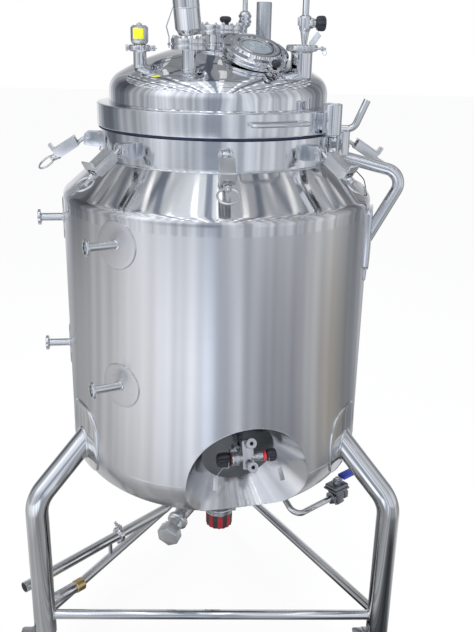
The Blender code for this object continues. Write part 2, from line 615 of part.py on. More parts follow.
def build_lid_fittings():
    # Breather on a clamped nozzle, at the left.
    at = Matrix.Translation((-0.2340, -0.1400, GASKET_Z))
    nozzle = revolve("breather_nozzle", [(0.0, 0.2360), (0.0252, 0.2360), (0.0252, 0.2310),
                                         (0.0195, 0.2250), (0.0195, 0.10), (0.0, 0.10)], SMALL, at)
    on_dome(nozzle)
    unite(nozzle, *ferrule_clamp("breather_clamp", at, 0.2265, 0.0330, 0.006))
    place(nozzle, steel("breather_nozzle", 0.64, 0.16))
    cap = revolve("breather_cap", [(0.0, 0.3040), (0.0080, 0.3040), (0.0080, 0.2990),
                                   (0.0215, 0.2975), (0.0262, 0.2920), (0.0262, 0.2560),
                                   (0.0225, 0.2480), (0.0172, 0.2465), (0.0172, 0.2363),
                                   (0.0, 0.2363)], SMALL, at)
    place(cap, steel("breather_cap", 0.5, 0.35))

    # Sight light: nozzle, bolted glass rings and a tilted lamp.
    at = Matrix.Translation((-0.0850, -0.2680, GASKET_Z))
    nozzle = revolve("light_nozzle", [(0.0, 0.2660), (0.0500, 0.2660),
                                      (0.0500, 0.2530), (0.0470, 0.2530), (0.0470, 0.2490),
                                      (0.0500, 0.2490), (0.0500, 0.2360),
                                      (0.0200, 0.2360), (0.0200, 0.10), (0.0, 0.10)], SMALL + 4, at)
    on_dome(nozzle)
    place(nozzle, steel("light_nozzle", 0.64, 0.16))
    lamp_at = at @ Matrix.Translation((0.0, 0.0, 0.2760)) @ Matrix.Rotation(
        math.radians(-5.0), 4, "Y") @ Matrix.Rotation(math.radians(9.0), 4, "X")
    lamp = revolve("sight_lamp", [(0.0, 0.1400), (0.0300, 0.1400), (0.0370, 0.1320),
                                  (0.0370, 0.0180), (0.0335, 0.0120), (0.0280, 0.0),
                                  (0.0, 0.0)], SMALL + 4, lamp_at)
    strap = [(-0.0560, -0.036), (-0.0530, -0.036), (-0.0530, -0.006), (-0.0600, 0.020),
             (-0.0360, 0.085), (-0.0345, 0.125), (-0.0375, 0.125), (-0.0385, 0.086),
             (-0.0635, 0.020), (-0.0560, -0.008)]
    side = at @ Matrix.Translation((0.0, 0.0, 0.2760)) @ Matrix.Rotation(
        math.radians(90.0), 4, "X")
    hinge = disc("lamp_hinge", 0.0041, -0.014, 0.014, side @ Matrix.Translation(
        (-0.0545, -0.026, 0.0)), 8)
    foot = block("lamp_foot", (-0.0545, -0.006, -0.032), (-0.0505, 0.006, -0.022),
                 at @ Matrix.Translation((0.0, 0.0, 0.2760)))
    unite(lamp, prism("lamp_strap", strap, -0.010, 0.010, side), hinge, foot)
    place(lamp, steel("sight_lamp", 0.64, 0.16))

    # Flanged port in the middle, closed by a plate with a knob.
    at = Matrix.Translation((0.0, 0.0, GASKET_Z))
    port = revolve("middle_port", [(0.0, 0.3060), (0.0750, 0.3060), (0.0770, 0.3040),
                                   (0.0770, 0.2925), (0.0740, 0.2910), (0.0770, 0.2895),
                                   (0.0770, 0.2770),
                                   (0.0570, 0.2770), (0.0570, 0.20), (0.0, 0.20)], MIDDLE, at)
    on_dome(port)
    place(port, steel("middle_port", 0.62, 0.2))
    knob = revolve("port_knob", [(0.0, 0.3310), (0.0130, 0.3310), (0.0180, 0.3260),
                                 (0.0180, 0.3170), (0.0110, 0.3120), (0.0110, 0.3063),
                                 (0.0, 0.3063)], TINY, at @ Matrix.Translation((0.018, -0.012, 0)))
    place(knob, material("port_knob_mat", (0.03, 0.03, 0.035), 0.0, 0.4))

    # Small vent valve on a thin tube, and the plain pipe behind the hatch.
    at = Matrix.Translation((0.0800, 0.0600, GASKET_Z))
    vent = revolve("vent_valve", [(0.0, 0.4300), (0.0120, 0.4300), (0.0252, 0.4270),
                                  (0.0252, 0.4210), (0.0085, 0.4120), (0.0080, 0.3500),
                                  (0.0150, 0.3450), (0.0180, 0.3400), (0.0180, 0.3080),
                                  (0.0150, 0.3030), (0.0080, 0.2980), (0.0080, 0.20),
                                  (0.0, 0.20)], TINY + 2, at)
    on_dome(vent)
    place(vent, steel("vent_valve", 0.64, 0.18))
    at = Matrix.Translation((0.1380, 0.0300, GASKET_Z))
    pipe = revolve("vent_pipe", [(0.0225, 0.3760), (0.0240, 0.3745), (0.0240, 0.18),
                                 (0.0205, 0.18), (0.0205, 0.3760)], SMALL, at)
    on_dome(pipe)
    place(pipe, steel("vent_pipe", 0.5, 0.4))

    # Clamped nozzle at the right with a small valve above it.
    at = Matrix.Translation((0.2430, -0.1550, GASKET_Z))
    stub = revolve("spray_nozzle", [(0.0, 0.2460), (0.0390, 0.2460), (0.0390, 0.2400),
                                    (0.0318, 0.2320), (0.0318, 0.05), (0.0, 0.05)], SMALL + 2, at)
    on_dome(stub)
    clamp_at = at @ Matrix.Rotation(math.radians(-90.0), 4, "Z")
    unite(stub, *ferrule_clamp("spray_clamp", clamp_at, 0.2360, 0.0470, 0.040, 1.0))
    place(stub, steel("spray_nozzle", 0.64, 0.16))
    at = at @ Matrix.Translation((0.0060, 0.0, 0.2463))
    valve = revolve("spray_valve", [(0.0, 0.1700), (0.0098, 0.1700), (0.0098, 0.0900),
                                    (0.0165, 0.0860), (0.0175, 0.0820), (0.0175, 0.0540),
                                    (0.0165, 0.0500), (0.0130, 0.0440), (0.0075, 0.0080),
                                    (0.0240, 0.0040), (0.0252, 0.0), (0.0, 0.0)], SMALL, at)
    side = at @ Matrix.Translation((0.0, 0.0, 0.0680)) @ Matrix.Rotation(
        math.radians(90.0), 4, "Y")
    unite(valve, disc("spray_bonnet", 0.0150, 0.0, 0.0310, side, TINY))
    place(valve, steel("spray_valve", 0.64, 0.18))
    knob = knob_body("spray_knob", side @ Matrix.Translation((0.0, 0.0, 0.0313)), 0.0215, 0.030)
    place(knob, material("spray_knob_mat", (0.02, 0.025, 0.04), 0.0, 0.35))


def knob_body(name, frame, radius, length):
    """A hand knob with eight rounded lobes, on the frame's Z axis."""
    outline = []
    for i in range(16):
        a = 2.0 * math.pi * i / 16
        r = radius * (0.93 + 0.07 * math.cos(8.0 * a))
        outline.append((r * math.cos(a), r * math.sin(a)))
    return prism(name, outline, 0.0, length, frame)


def build_davit():
    """Barrel on the lid rim with its handle, and the screw socket beside it."""
    at = out_from_axis(-36.5, LID_R + 0.0290, GASKET_Z)
    barrel = revolve("davit_barrel", [(0.0, 0.0880), (0.0200, 0.0880), (0.0240, 0.0960),
                                      (0.0280, 0.0960), (0.0285, 0.0940), (0.0285, 0.0080),
                                      (0.0, 0.0080)], SMALL, Matrix.Translation(at))
    web = block("davit_web", (-0.040, -0.020, 0.020), (-0.010, 0.020, 0.070),
                Matrix.Translation(at) @ Matrix.Rotation(math.radians(-36.5), 4, "Z"))
    unite(barrel, web)
    cut(barrel, ring("davit_trim", LID_R + GAP, 0.30, GASKET_Z - 0.02, GASKET_Z + 0.12))
    place(barrel, steel("davit_barrel", 0.6, 0.2))

    points = []
    for azimuth, radius in ((-77.0, 0.370), (-76.5, 0.4130), (-68.0, 0.4130), (-59.0, 0.4130),
                            (-50.5, 0.4130), (-50.0, 0.370)):
        points.append(out_from_axis(azimuth, radius, GASKET_Z + 0.0450))
    handle = tube("lid_handle", points, 0.0062, 0.010, 1, 2)
    cut(handle, ring("handle_trim", LID_R + GAP, 0.30, GASKET_Z - 0.02, GASKET_Z + 0.12))
    place(handle, steel("lid_handle", 0.68, 0.15))

    at = out_from_axis(-24.5, 0.4150, GASKET_Z)
    socket = disc("davit_socket", 0.0205, -0.0600, 0.0120, Matrix.Translation(at), SMALL)
    web = block("socket_web", (-0.055, -0.010, -0.055), (-0.010, 0.010, -0.008),
                Matrix.Translation(at) @ Matrix.Rotation(math.radians(-24.5), 4, "Z"))
    crank = tube("davit_crank", [at + Vector((-0.0120, 0.0, 0.0180)),
                                 at + Vector((0.0310, 0.0, 0.0180)),
                                 at + Vector((0.0660, 0.0, 0.1030))], 0.0110, 0.030, 2, 4)
    unite(socket, web, crank)
    cut(socket, ring("socket_trim", FLANGE_R + GAP, 0.30, GASKET_Z - 0.073, GASKET_Z + 0.002))
    place(socket, steel("davit_socket", 0.6, 0.22))


# ---- Side nozzles and the push handle --------------------------------------
def skin_patch(name, azimuth, height, outline, thickness):
    """A plate of even thickness that lies on the jacket inside an outline."""
    outer = jacket_line(thickness)
    inner = jacket_line(GAP)
    profile = shift(outer + list(reversed(inner)), GASKET_Z)
    # Both lines end on the axis, so the skin closes as one thin body.
    profile[len(outer) - 1] = (0.0, profile[len(outer) - 1][1])
    skin = [p for p in profile if p[0] > 0.06]
    plate = revolve(name, skin, WIDE, closed=True)
    frame = radial_frame(azimuth, 0.0, height) @ Matrix(
        ((0, 0, 1, 0), (1, 0, 0, 0), (0, 1, 0, 0), (0, 0, 0, 1)))
    window = prism(name + "_window", outline, 0.25, 0.60, frame)
    boolean(plate, window, "INTERSECT")
    return plate


def oval(half_width, half_height, power=2.0, count=14):
    """A closed outline between an ellipse (power 2) and a rounded box (power 4)."""
    points = []
    for i in range(count):
        a = 2.0 * math.pi * i / count
        c = math.cos(a)
        s = math.sin(a)
        points.append((half_width * math.copysign(abs(c) ** (2.0 / power), c),
                       half_height * math.copysign(abs(s) ** (2.0 / power), s)))
    return points


def build_side_nozzle(name, azimuth, height, aim, length):
    """Jacket nozzle with its pad, tube and ferrule; aim is the tube's azimuth."""
    base = out_from_axis(azimuth, SHELL_R, height)
    direction = out_from_axis(aim, 1.0, 0.0)
    frame = frame_along(base, direction)
    tube_r = NOZZLE_TUBE_R
    bore = NOZZLE_BORE_R
    body = revolve(name, [(bore, length), (FERRULE_R - 0.00125, length),
                          (FERRULE_R, length - 0.001), (FERRULE_R, length - 0.0030),
                          (tube_r, length - 0.0100), (tube_r, -0.045), (bore, -0.045)], SMALL, frame)
    cut(body, jacket_solid(name + "_trim", GAP))
    pad = skin_patch(name + "_pad", azimuth, height, oval(0.070, 0.070), 0.0035)
    unite(body, pad)
    cut(body, disc(name + "_bore", bore - 0.0002, -0.06, length - 0.004, frame, SMALL))
    place(body, steel(name, 0.62, 0.2))


def build_push_handle():
    azimuth = HANDLE_AZ
    foot = SHELL_R - 0.030
    points = [out_from_axis(azimuth, r, GASKET_Z + z)
              for r, z in ((FLANGE_R - 0.023, -0.0650), (SHELL_R + HANDLE_OUT, -0.1230),
                           (foot, -0.3900))]
    handle = tube("push_handle", points, HANDLE_TUBE_R, HANDLE_BEND_R, 3, 5)
    cut(handle, ring("handle_top_trim", FLANGE_R + GAP, 0.30, GASKET_Z - 0.12, GASKET_Z))
    frame = radial_frame(azimuth, 0.0, GASKET_Z) @ Matrix(
        ((0, 0, 1, 0), (1, 0, 0, 0), (0, 1, 0, 0), (0, 0, 0, 1)))
    plate = prism("handle_plate", [(-0.050, -0.430), (0.050, -0.430), (0.060, -0.418),
                                   (0.060, -0.245), (0.050, -0.233), (-0.050, -0.233),
                                   (-0.060, -0.245), (-0.060, -0.418)],
                  foot + 0.010, SHELL_R + HANDLE_PLATE_T, frame)
    toe = prism("handle_toe", [(-0.048, -0.468), (0.048, -0.468), (0.050, -0.428),
                               (-0.050, -0.428)], foot + 0.010, SHELL_R + HANDLE_TOE_T, frame)
    unite(plate, toe)
    for piece in (handle, plate):
        cut(piece, jacket_solid("handle_trim", GAP))
    unite(handle, plate)
    place(handle, steel("push_handle", 0.5, 0.3))


# ---- Legs, rails and castors -----------------------------------------------
def build_leg(name, azimuth):
    """One bent tube from its pad on the jacket down to the castor."""
    points = [out_from_axis(azimuth, SHELL_R - 0.060, GASKET_Z - LEG_PAD_DROP + 0.040),
              out_from_axis(azimuth, LEG_R, GASKET_Z - LEG_BEND_DROP),
              out_from_axis(azimuth, LEG_R, GASKET_Z - LEG_END_DROP)]
    leg = tube(name, points, LEG_TUBE_R, LEG_BEND_R, 4, 4)
    cut(leg, jacket_solid(name + "_trim", 0.0045))
    pad = skin_patch(name + "_pad", azimuth, GASKET_Z - LEG_PAD_DROP,
                     oval(0.100, 0.118, 3.0, 16), 0.0060)
    unite(leg, pad)
    place(leg, steel(name, 0.62, 0.14))


def build_rails():
    corners = {key: out_from_axis(az, LEG_R, GASKET_Z - RAIL_DROP) for key, az in LEG_AZ.items()}
    pairs = {"rail_front": ("leg_left", "leg_right"), "rail_left": ("leg_left", "leg_rear"),
             "rail_right": ("leg_right", "leg_rear")}
    for name, (first, second) in pairs.items():
        start = corners[first]
        end = corners[second]
        span = end - start
        rail = disc(name, RAIL_TUBE_R, 0.0, span.length, frame_along(start, span), SMALL)
        for corner in (start, end):
            cut(rail, around(name + "_cope", LEG_TUBE_R, corner.z - 0.08, corner.z + 0.08,
                             Matrix.Translation((corner.x, corner.y, 0.0))))
        place(rail, steel(name, 0.62, 0.16))


def build_castor(name, azimuth):
    """Castor with a forked head; the wheel trails to the left."""
    top = GASKET_Z - LEG_END_DROP - GAP
    spot = out_from_axis(azimuth, LEG_R, 0.0)
    frame = Matrix.Translation(spot)
    wheel_r = 0.0625
    axle = Vector((-0.032, 0.0, wheel_r))
    head = disc(name, 0.0375, top - 0.012, top, frame, SMALL)
    plate = block(name + "_crown", (-0.052, -0.026, top - 0.022), (0.030, 0.026, top - 0.010),
                  frame)
    side = frame @ Matrix.Rotation(math.radians(90.0), 4, "X")
    cheek = [(-0.049, 0.050), (-0.016, 0.050), (0.027, top - 0.021), (0.027, top - 0.014),
             (-0.049, top - 0.014)]
    lever = [(-0.085, -0.016), (-0.078, -0.021), (-0.030, -0.021), (-0.030, 0.021),
             (-0.078, 0.021), (-0.085, 0.016)]
    tread = [(0.0, 0.0160), (wheel_r, 0.0160), (wheel_r, -0.0160), (0.0, -0.0160)]
    wheel_at = Matrix.Translation(spot + axle) @ Matrix.Rotation(math.radians(90.0), 4, "X")
    unite(head, plate,
          prism(name + "_cheek", cheek, 0.0200, 0.0250, side),
          prism(name + "_cheek", cheek, -0.0250, -0.0200, side),
          prism(name + "_brake", lever, top - 0.0165, top - 0.0115, frame),
          revolve(name + "_wheel", tread, 16, wheel_at),
          disc(name + "_axle", 0.0080, -0.0290, 0.0290, wheel_at, 8))
    cut(head, disc(name + "_hole", 0.0055, top - 0.03, top + 0.01,
                   frame @ Matrix.Translation((-0.066, 0.0, 0.0)), TINY))
    place(head, steel(name, 0.45, 0.3))


# ---- Outlet valves and pipes below -----------------------------------------
def valve_frame():
    """X to the right, Y up the block and Z along its two ports, which look up a little."""
    a = math.radians(VALVE_AZ)
    lift = math.radians(VALVE_LIFT_DEG)
    ahead = Vector((math.cos(a) * math.cos(lift), math.sin(a) * math.cos(lift), math.sin(lift)))
    return frame_along(VALVE_AT + Vector((0.0, 0.0, GASKET_Z)), ahead,
                       (-math.sin(a), math.cos(a), 0.0))


def build_outlet_valves():
    """Block with two clamp ports and a hand knob on each side, in the funnel."""
    seat = funnel_frame()
    frame = valve_frame()
    stem_line = frame.translation - seat.translation
    stem_frame = frame_along(seat.translation, stem_line)
    body = disc("outlet_valve", 0.0300, GAP, 0.0100, seat)
    stem = disc("outlet_stem", 0.0170, -0.0100, stem_line.length, stem_frame, TINY)
    cut(stem, disc("outlet_seat", 0.0600, -0.0300, GAP, seat))
    bar = block("outlet_bar", (-0.0180, -0.0370, -0.0170), (0.0190, 0.0560, 0.0130), frame)
    left = frame @ Matrix.Rotation(math.radians(-90.0), 4, "Y")
    right = frame @ Matrix.Rotation(math.radians(90.0), 4, "Y")
    unite(body, stem, bar, disc("outlet_arm", 0.0215, 0.0270, 0.0540, left),
          disc("outlet_neck", 0.0130, 0.0060, 0.0300, left, TINY),
          disc("outlet_arm", 0.0155, 0.0090, 0.0597, right))
    for rise in (VALVE_PORT_LOW, VALVE_PORT_HIGH):
        at = frame @ Matrix.Translation((0.0080, rise, 0.0))
        port = revolve("outlet_port", [(0.0, VALVE_PORT_L), (0.0172, VALVE_PORT_L),
                                       (0.0172, VALVE_PORT_L - 0.0040), (0.0100, 0.0240),
                                       (0.0100, 0.0), (0.0, 0.0)], SMALL, at)
        unite(body, port)
        cut(body, disc("outlet_bore", 0.0060, 0.0050, VALVE_PORT_L + 0.01, at, TINY))
    place(body, steel("outlet_valve", 0.62, 0.22))
    black = (0.02, 0.022, 0.03)
    place(knob_body("outlet_knob_left", left @ Matrix.Translation((0.0, 0.0, 0.0543)),
                    0.0235, 0.0450), material("outlet_knob_left_mat", black, 0.0, 0.35))
    place(knob_body("outlet_knob_right", right @ Matrix.Translation((0.0, 0.0, 0.0600)),
                    0.0212, 0.0340), material("outlet_knob_right_mat", black, 0.0, 0.35))


def bottom_height(radius):
    """Height of the jacket's crown below, at a distance from the axis."""
    lean = math.asin((SHELL_R - KNUCKLE_R) / (CROWN_R - KNUCKLE_R))
    centre = GASKET_Z - SHELL_END_DROP + math.cos(lean) * (CROWN_R - KNUCKLE_R)
    return centre - math.sqrt(CROWN_R ** 2 - radius ** 2)


def build_bottom_fittings():
    # Bottom valve in the middle front, with the striped grip below it.
    x, y = 0.019, -0.270
    z = bottom_height(math.hypot(x, y))
    at = Matrix.Translation((x, y, 0.0))
    valve = revolve("bottom_valve", [(0.0, z + 0.03), (0.0260, z + 0.03), (0.0260, z - 0.0160),
                                     (0.0420, z - 0.0200), (0.0430, z - 0.0240),
                                     (0.0430, z - 0.0400), (0.0, z - 0.0400)], SMALL, at)
    unite(valve, block("valve_ears", (-0.052, -0.009, z - 0.038), (0.052, 0.009, z - 0.022), at))
    cut(valve, jacket_solid("valve_trim", GAP))
    place(valve, steel("bottom_valve", 0.5, 0.3))
    grip = revolve("bottom_grip", [(0.0, z - 0.0403), (0.0400, z - 0.0403), (0.0420, z - 0.0430),
                                   (0.0395, z - 0.0850), (0.0360, z - 0.0900),
                                   (0.0, z - 0.0900)], SMALL, at)
    place(grip, material("bottom_grip_mat", (0.35, 0.02, 0.03), 0.0, 0.4))

    # Conical branch with a clamped sensor that ends in a hexagon cap.
    x, y = -0.0832, -0.3098
    root = Vector((x, y, bottom_height(math.hypot(x, y))))
    aim = Vector((-0.392, -0.891, -0.230)).normalized()
    frame = frame_along(root, aim)
    branch = revolve("sensor_branch", [(0.0, 0.1290), (0.0240, 0.1290), (0.0240, 0.0980),
                                       (0.0310, 0.0960), (0.0310, 0.0780), (0.0240, 0.0760),
                                       (0.0230, 0.0640), (0.0330, 0.0), (0.0400, -0.1200),
                                       (0.0, -0.1200)], SMALL, frame)
    hexagon = disc("sensor_hex", 0.0375, 0.1270, 0.1640, frame, 6)
    unite(branch, hexagon)
    cut(branch, jacket_solid("branch_trim", GAP))
    place(branch, steel("sensor_branch", 0.5, 0.3))

    # Drain pipe: down from the bottom, then straight to its open end at the left.
    level = GASKET_Z - DRAIN_DROP
    run = Vector((0.683, 0.731, 0.0)).normalized()
    crossing = Vector((-0.397, -0.012, level))
    outer_end = crossing - run * 0.385
    turn_at = crossing + run * 0.330
    top = Vector((turn_at.x, turn_at.y, bottom_height(math.hypot(turn_at.x, turn_at.y)) + 0.03))
    drain = tube("drain_pipe", [outer_end, turn_at, top], DRAIN_TUBE_R, 0.045, 3, 4)
    union_at = frame_along(crossing + run * 0.045, run, (0.2, 0.1, 1.0))
    unite(drain, ring_band("drain_union", union_at, 0.0310, 0.022),
          block("union_lug", (0.020, -0.007, -0.006), (0.043, 0.007, 0.006), union_at),
          block("union_hinge", (-0.040, -0.006, -0.006), (-0.020, 0.006, 0.006), union_at))
    rail_top = GASKET_Z - RAIL_DROP + RAIL_TUBE_R
    post = disc("drain_post", 0.0080, rail_top - 0.012, level, Matrix.Translation(
        (crossing.x, crossing.y, 0.0)), TINY)
    unite(drain, post)
    rail_frame = frame_along(out_from_axis(-150.0, LEG_R, GASKET_Z - RAIL_DROP),
                             out_from_axis(90.0, LEG_R, 0.0) - out_from_axis(-150.0, LEG_R, 0.0))
    cut(drain, around("post_cope", RAIL_TUBE_R, 0.0, 1.2, rail_frame, SMALL))
    cut(drain, jacket_solid("drain_trim", GAP))
    cut(drain, disc("drain_bore", DRAIN_TUBE_R - 0.0025, -0.01, 0.30, frame_along(outer_end, run), SMALL))
    place(drain, steel("drain_pipe", 0.55, 0.22))

    # Short stub with a brass collar, welded to the left leg above the rail.
    leg = out_from_axis(-150.0, LEG_R, GASKET_Z - RAIL_DROP + RAIL_TUBE_R + 0.0230)
    aim = Vector((0.700, 0.714, 0.0)).normalized()
    frame = frame_along(leg, aim)
    stub = revolve("drain_stub", [(0.0, 0.1640), (0.0215, 0.1640), (0.0225, 0.1620),
                                  (0.0225, 0.1320), (0.0205, 0.1300), (0.0205, 0.010),
                                  (0.0, 0.010)], SMALL, frame)
    cut(stub, around("stub_cope", LEG_TUBE_R, leg.z - 0.08, leg.z + 0.08,
                     Matrix.Translation((leg.x, leg.y, 0.0))))
    place(stub, steel("drain_stub", 0.58, 0.2))


def ring_band(name, frame, radius, width):
    half = width / 2.0
    return revolve(name, [(radius - 0.003, half), (radius, half - 0.003),
                          (radius, -half + 0.003), (radius - 0.003, -half),
                          (0.012, -half), (0.012, half)], SMALL + 1, frame)


def build_side_valve():
    """Small pipe from under the bottom to a ball valve with a blue lever."""
    start_r = SHELL_R - 0.2123
    level = bottom_height(start_r) - SIDE_PIPE_LOW
    elbow = out_from_axis(-47.180, SHELL_R - 0.0910, level)
    valve_at = out_from_axis(-21.073, SHELL_R - 0.03275, level)
    run = (valve_at - elbow).normalized()
    start = out_from_axis(-41.336, start_r, bottom_height(start_r) + 0.03)
    end = valve_at - run * 0.030
    pipe = tube("side_pipe", [start, elbow, end], SIDE_PIPE_R, 0.030, 2, 3)
    cut(pipe, jacket_solid("side_trim", GAP))
    place(pipe, steel("side_pipe", 0.6, 0.2))

    up = Vector((0.0, 0.0, 1.0))
    across = run.cross(up).normalized()
    turn = Matrix((run, -across, up)).transposed().to_4x4()
    frame = Matrix.Translation(valve_at) @ turn
    lengthwise = frame @ Matrix.Rotation(math.radians(90.0), 4, "Y")
    body = block("ball_valve", (-0.016, -0.024, -0.024), (0.016, 0.024, 0.024), frame)
    ends = disc("valve_ends", 0.0190, -0.0270, 0.0400, lengthwise, TINY)
    hexagon = disc("valve_hex", 0.0235, 0.0240, 0.0420, lengthwise, 6)
    hexagon_b = disc("valve_hex", 0.0235, -0.0297, -0.0200, lengthwise, 6)
    neck = disc("valve_neck", 0.0150, 0.018, LEVER_UP - GAP, frame, TINY)
    bonnet = block("valve_bonnet", (-0.036, -0.030, 0.0300), (0.036, 0.030, 0.0500), frame)
    unite(body, ends, hexagon, hexagon_b, neck, bonnet)
    for sx in (-1.0, 1.0):
        for sz in (-1.0, 1.0):
            unite(body, disc("valve_bolt", 0.0050, -0.0190, 0.0190, lengthwise
                             @ Matrix.Translation((sz * 0.0175, sx * 0.0175, 0.0)), 4))
    place(body, steel("ball_valve", 0.28, 0.4))

    lever_frame = frame @ Matrix.Translation((0.0, 0.0, LEVER_UP))
    outline = [(-0.013, -0.011), (0.020, -0.0125), (0.094, -0.0125), (0.100, -0.008),
               (0.100, 0.008), (0.094, 0.0125), (0.020, 0.0125), (-0.013, 0.011)]
    lever = prism("valve_lever", outline, 0.0, 0.0040, lever_frame)
    sleeve = block("lever_sleeve", (0.020, -0.0165, -0.0030), (0.098, 0.0165, 0.0105),
                   lever_frame, 0.0025)
    nut = disc("lever_nut", 0.0080, 0.0, 0.0110, lever_frame, 6)
    unite(lever, sleeve, nut)
    place(lever, material("valve_lever_mat", (0.03, 0.05, 0.35), 0.0, 0.4))


def middle_of_base():
    """Middle of the box round all pieces, at the height of its lowest point."""
    graph = bpy.context.evaluated_depsgraph_get()
    lows = []
    highs = []
    for obj in parts.objects:
        mesh = obj.evaluated_get(graph).to_mesh()
        points = np.empty(len(mesh.vertices) * 3)
        mesh.vertices.foreach_get("co", points)
        turn = np.array(obj.matrix_world)
        world = points.reshape(-1, 3) @ turn[:3, :3].T + turn[:3, 3]
        lows.append(world.min(axis=0))
        highs.append(world.max(axis=0))
    low = np.min(lows, axis=0)
    high = np.max(highs, axis=0)
    return Vector(((low[0] + high[0]) / 2.0, (low[1] + high[1]) / 2.0, low[2]))


def stand_on_origin():
    """Move all pieces together, so that the origin is in the middle of the base."""
    bpy.context.view_layer.update()
    back = Matrix.Translation(-middle_of_base())
    for obj in list(parts.objects) + list(cutters.objects):
        obj.matrix_world = back @ obj.matrix_world


# ---- Build -----------------------------------------------------------------
clear_scene()
make_collections()
build_shell()
build_inner_vessel()
build_funnel()
build_body_flange()
build_lid()
build_hatch()
build_lid_fittings()
build_davit()
for index, clamp_azimuth in enumerate(CLAMP_AZ):
    build_swing_clamp(index + 1, clamp_azimuth)
for level_name, drop in NOZZLE_DROPS.items():
    build_side_nozzle("nozzle_%s_front" % level_name, -125.0, GASKET_Z - drop, -154.0, 0.0920)
    build_side_nozzle("nozzle_%s_side" % level_name, -174.0, GASKET_Z - drop, -174.0, 0.0840)
build_push_handle()
for leg_name, leg_azimuth in LEG_AZ.items():
    build_leg(leg_name, leg_azimuth)
    build_castor(leg_name.replace("leg", "castor"), leg_azimuth)
build_rails()
build_outlet_valves()
build_bottom_fittings()
build_side_valve()
stand_on_origin()
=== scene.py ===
# %% [markdown]
# # A jacketed process vessel in polished steel
# The vessel is a tank with a domed lid on three bent tube legs. Its solids come
# ready made, and each node is a sub-part at its real size. They are faceted, which
# polished metal shows at once. So most of them are covered here by smooth surfaces
# on the same sizes, and the finish is made from procedural materials.

# %% Load the solids
import math
import bmesh
import bpy
import numpy as np
from mathutils import Matrix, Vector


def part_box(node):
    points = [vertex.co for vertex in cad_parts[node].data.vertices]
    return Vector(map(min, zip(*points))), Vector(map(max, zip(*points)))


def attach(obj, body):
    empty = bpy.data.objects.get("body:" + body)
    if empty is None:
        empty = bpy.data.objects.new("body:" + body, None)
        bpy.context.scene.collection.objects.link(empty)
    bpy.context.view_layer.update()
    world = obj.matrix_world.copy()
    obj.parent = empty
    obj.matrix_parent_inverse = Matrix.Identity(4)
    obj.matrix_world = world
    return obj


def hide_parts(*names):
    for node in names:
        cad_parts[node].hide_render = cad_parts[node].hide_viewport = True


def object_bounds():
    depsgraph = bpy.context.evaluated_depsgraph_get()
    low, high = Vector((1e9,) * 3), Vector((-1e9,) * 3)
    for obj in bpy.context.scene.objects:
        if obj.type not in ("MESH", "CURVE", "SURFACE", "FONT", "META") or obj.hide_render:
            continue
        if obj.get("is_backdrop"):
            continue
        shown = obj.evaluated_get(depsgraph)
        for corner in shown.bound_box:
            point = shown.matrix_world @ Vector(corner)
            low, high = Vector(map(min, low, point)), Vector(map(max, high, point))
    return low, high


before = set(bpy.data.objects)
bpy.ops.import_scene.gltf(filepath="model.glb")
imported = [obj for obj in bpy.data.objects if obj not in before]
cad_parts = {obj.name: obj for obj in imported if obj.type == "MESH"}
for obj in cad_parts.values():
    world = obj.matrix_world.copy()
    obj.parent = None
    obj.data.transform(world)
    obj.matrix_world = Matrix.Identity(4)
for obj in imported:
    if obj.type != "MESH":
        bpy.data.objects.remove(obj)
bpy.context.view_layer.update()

# %% [markdown]
# ## Where the vessel stands
# All sizes are counted from the vessel's own axis and from the gasket under the
# lid. The inner tank is round, so the middle of its box is the axis.

# %% Axis and main sizes
low, high = (np.array(c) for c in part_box("inner_vessel"))
AXIS = np.array([(low[0] + high[0]) / 2, (low[1] + high[1]) / 2, 0.0])
Z = float(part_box("lid_gasket")[0][2])
SHELL_R = 0.5
SHOULDER_ARC_R = 0.034
WALL_TOP, WALL_END = -0.215, -1.035
KNUCKLE_R, CROWN_R = 0.14, 1.0
FLANGE_R, LID_R = 0.373, 0.383
DOME_R, DOME_STRAIGHT, DOME_KNUCKLE_R, DOME_CROWN_R = 0.3446, 0.107, 0.065, 0.6
LEG_R, LEG_TUBE_R = 0.675, 0.038
CLAMP_AZ = (-87.0, -44.5, 3.0, 48.0, 93.0, 138.0, 183.0, 228.0)
print("axis at", AXIS.round(4), "gasket at", round(Z, 4))

# %% [markdown]
# ## Frames
# A piece is easiest to draw round its own axis. A frame is a 4 by 4 matrix that
# carries such a drawing to its place, so frames can be chained by multiplying.

# %% Frames
def at(x=0.0, y=0.0, z=0.0):
    m = np.eye(4)
    m[:3, 3] = x, y, z
    return m


def turn(axis, degrees):
    """Right-hand turn about X, Y or Z."""
    c, s = math.cos(math.radians(degrees)), math.sin(math.radians(degrees))
    i, j = {"X": (1, 2), "Y": (2, 0), "Z": (0, 1)}[axis]
    m = np.eye(4)
    m[i, i], m[j, j], m[i, j], m[j, i] = c, c, -s, s
    return m


def along(origin, direction, hint=(0.0, 0.0, 1.0)):
    """Z runs along direction, and X leans towards hint."""
    z = np.array(direction, float) / np.linalg.norm(direction)
    h = np.array(hint, float)
    if abs(h @ z) > 0.99 * np.linalg.norm(h):
        h = np.array([1.0, 0.0, 0.0])
    x = h - z * (h @ z)
    x /= np.linalg.norm(x)
    m = np.eye(4)
    m[:3, 0], m[:3, 1], m[:3, 2], m[:3, 3] = x, np.cross(z, x), z, origin
    return m


def polar(azimuth, radius, height):
    a = math.radians(azimuth)
    return np.array([radius * math.cos(a), radius * math.sin(a), height])


def heading(azimuth, rise):
    """A direction of length 1, azimuth degrees round and rise degrees up."""
    return polar(azimuth, math.cos(math.radians(rise)), math.sin(math.radians(rise)))


def radial(azimuth, radius, height):
    """X runs outwards from the vessel's axis and Z up."""
    return at(*polar(azimuth, radius, height)) @ turn("Z", azimuth)


# %% [markdown]
# ## Surfaces as grids
# Every surface here is a function of two parameters, worked out for the whole grid
# at once. One helper turns such grids into faces, and one mesh may hold several.

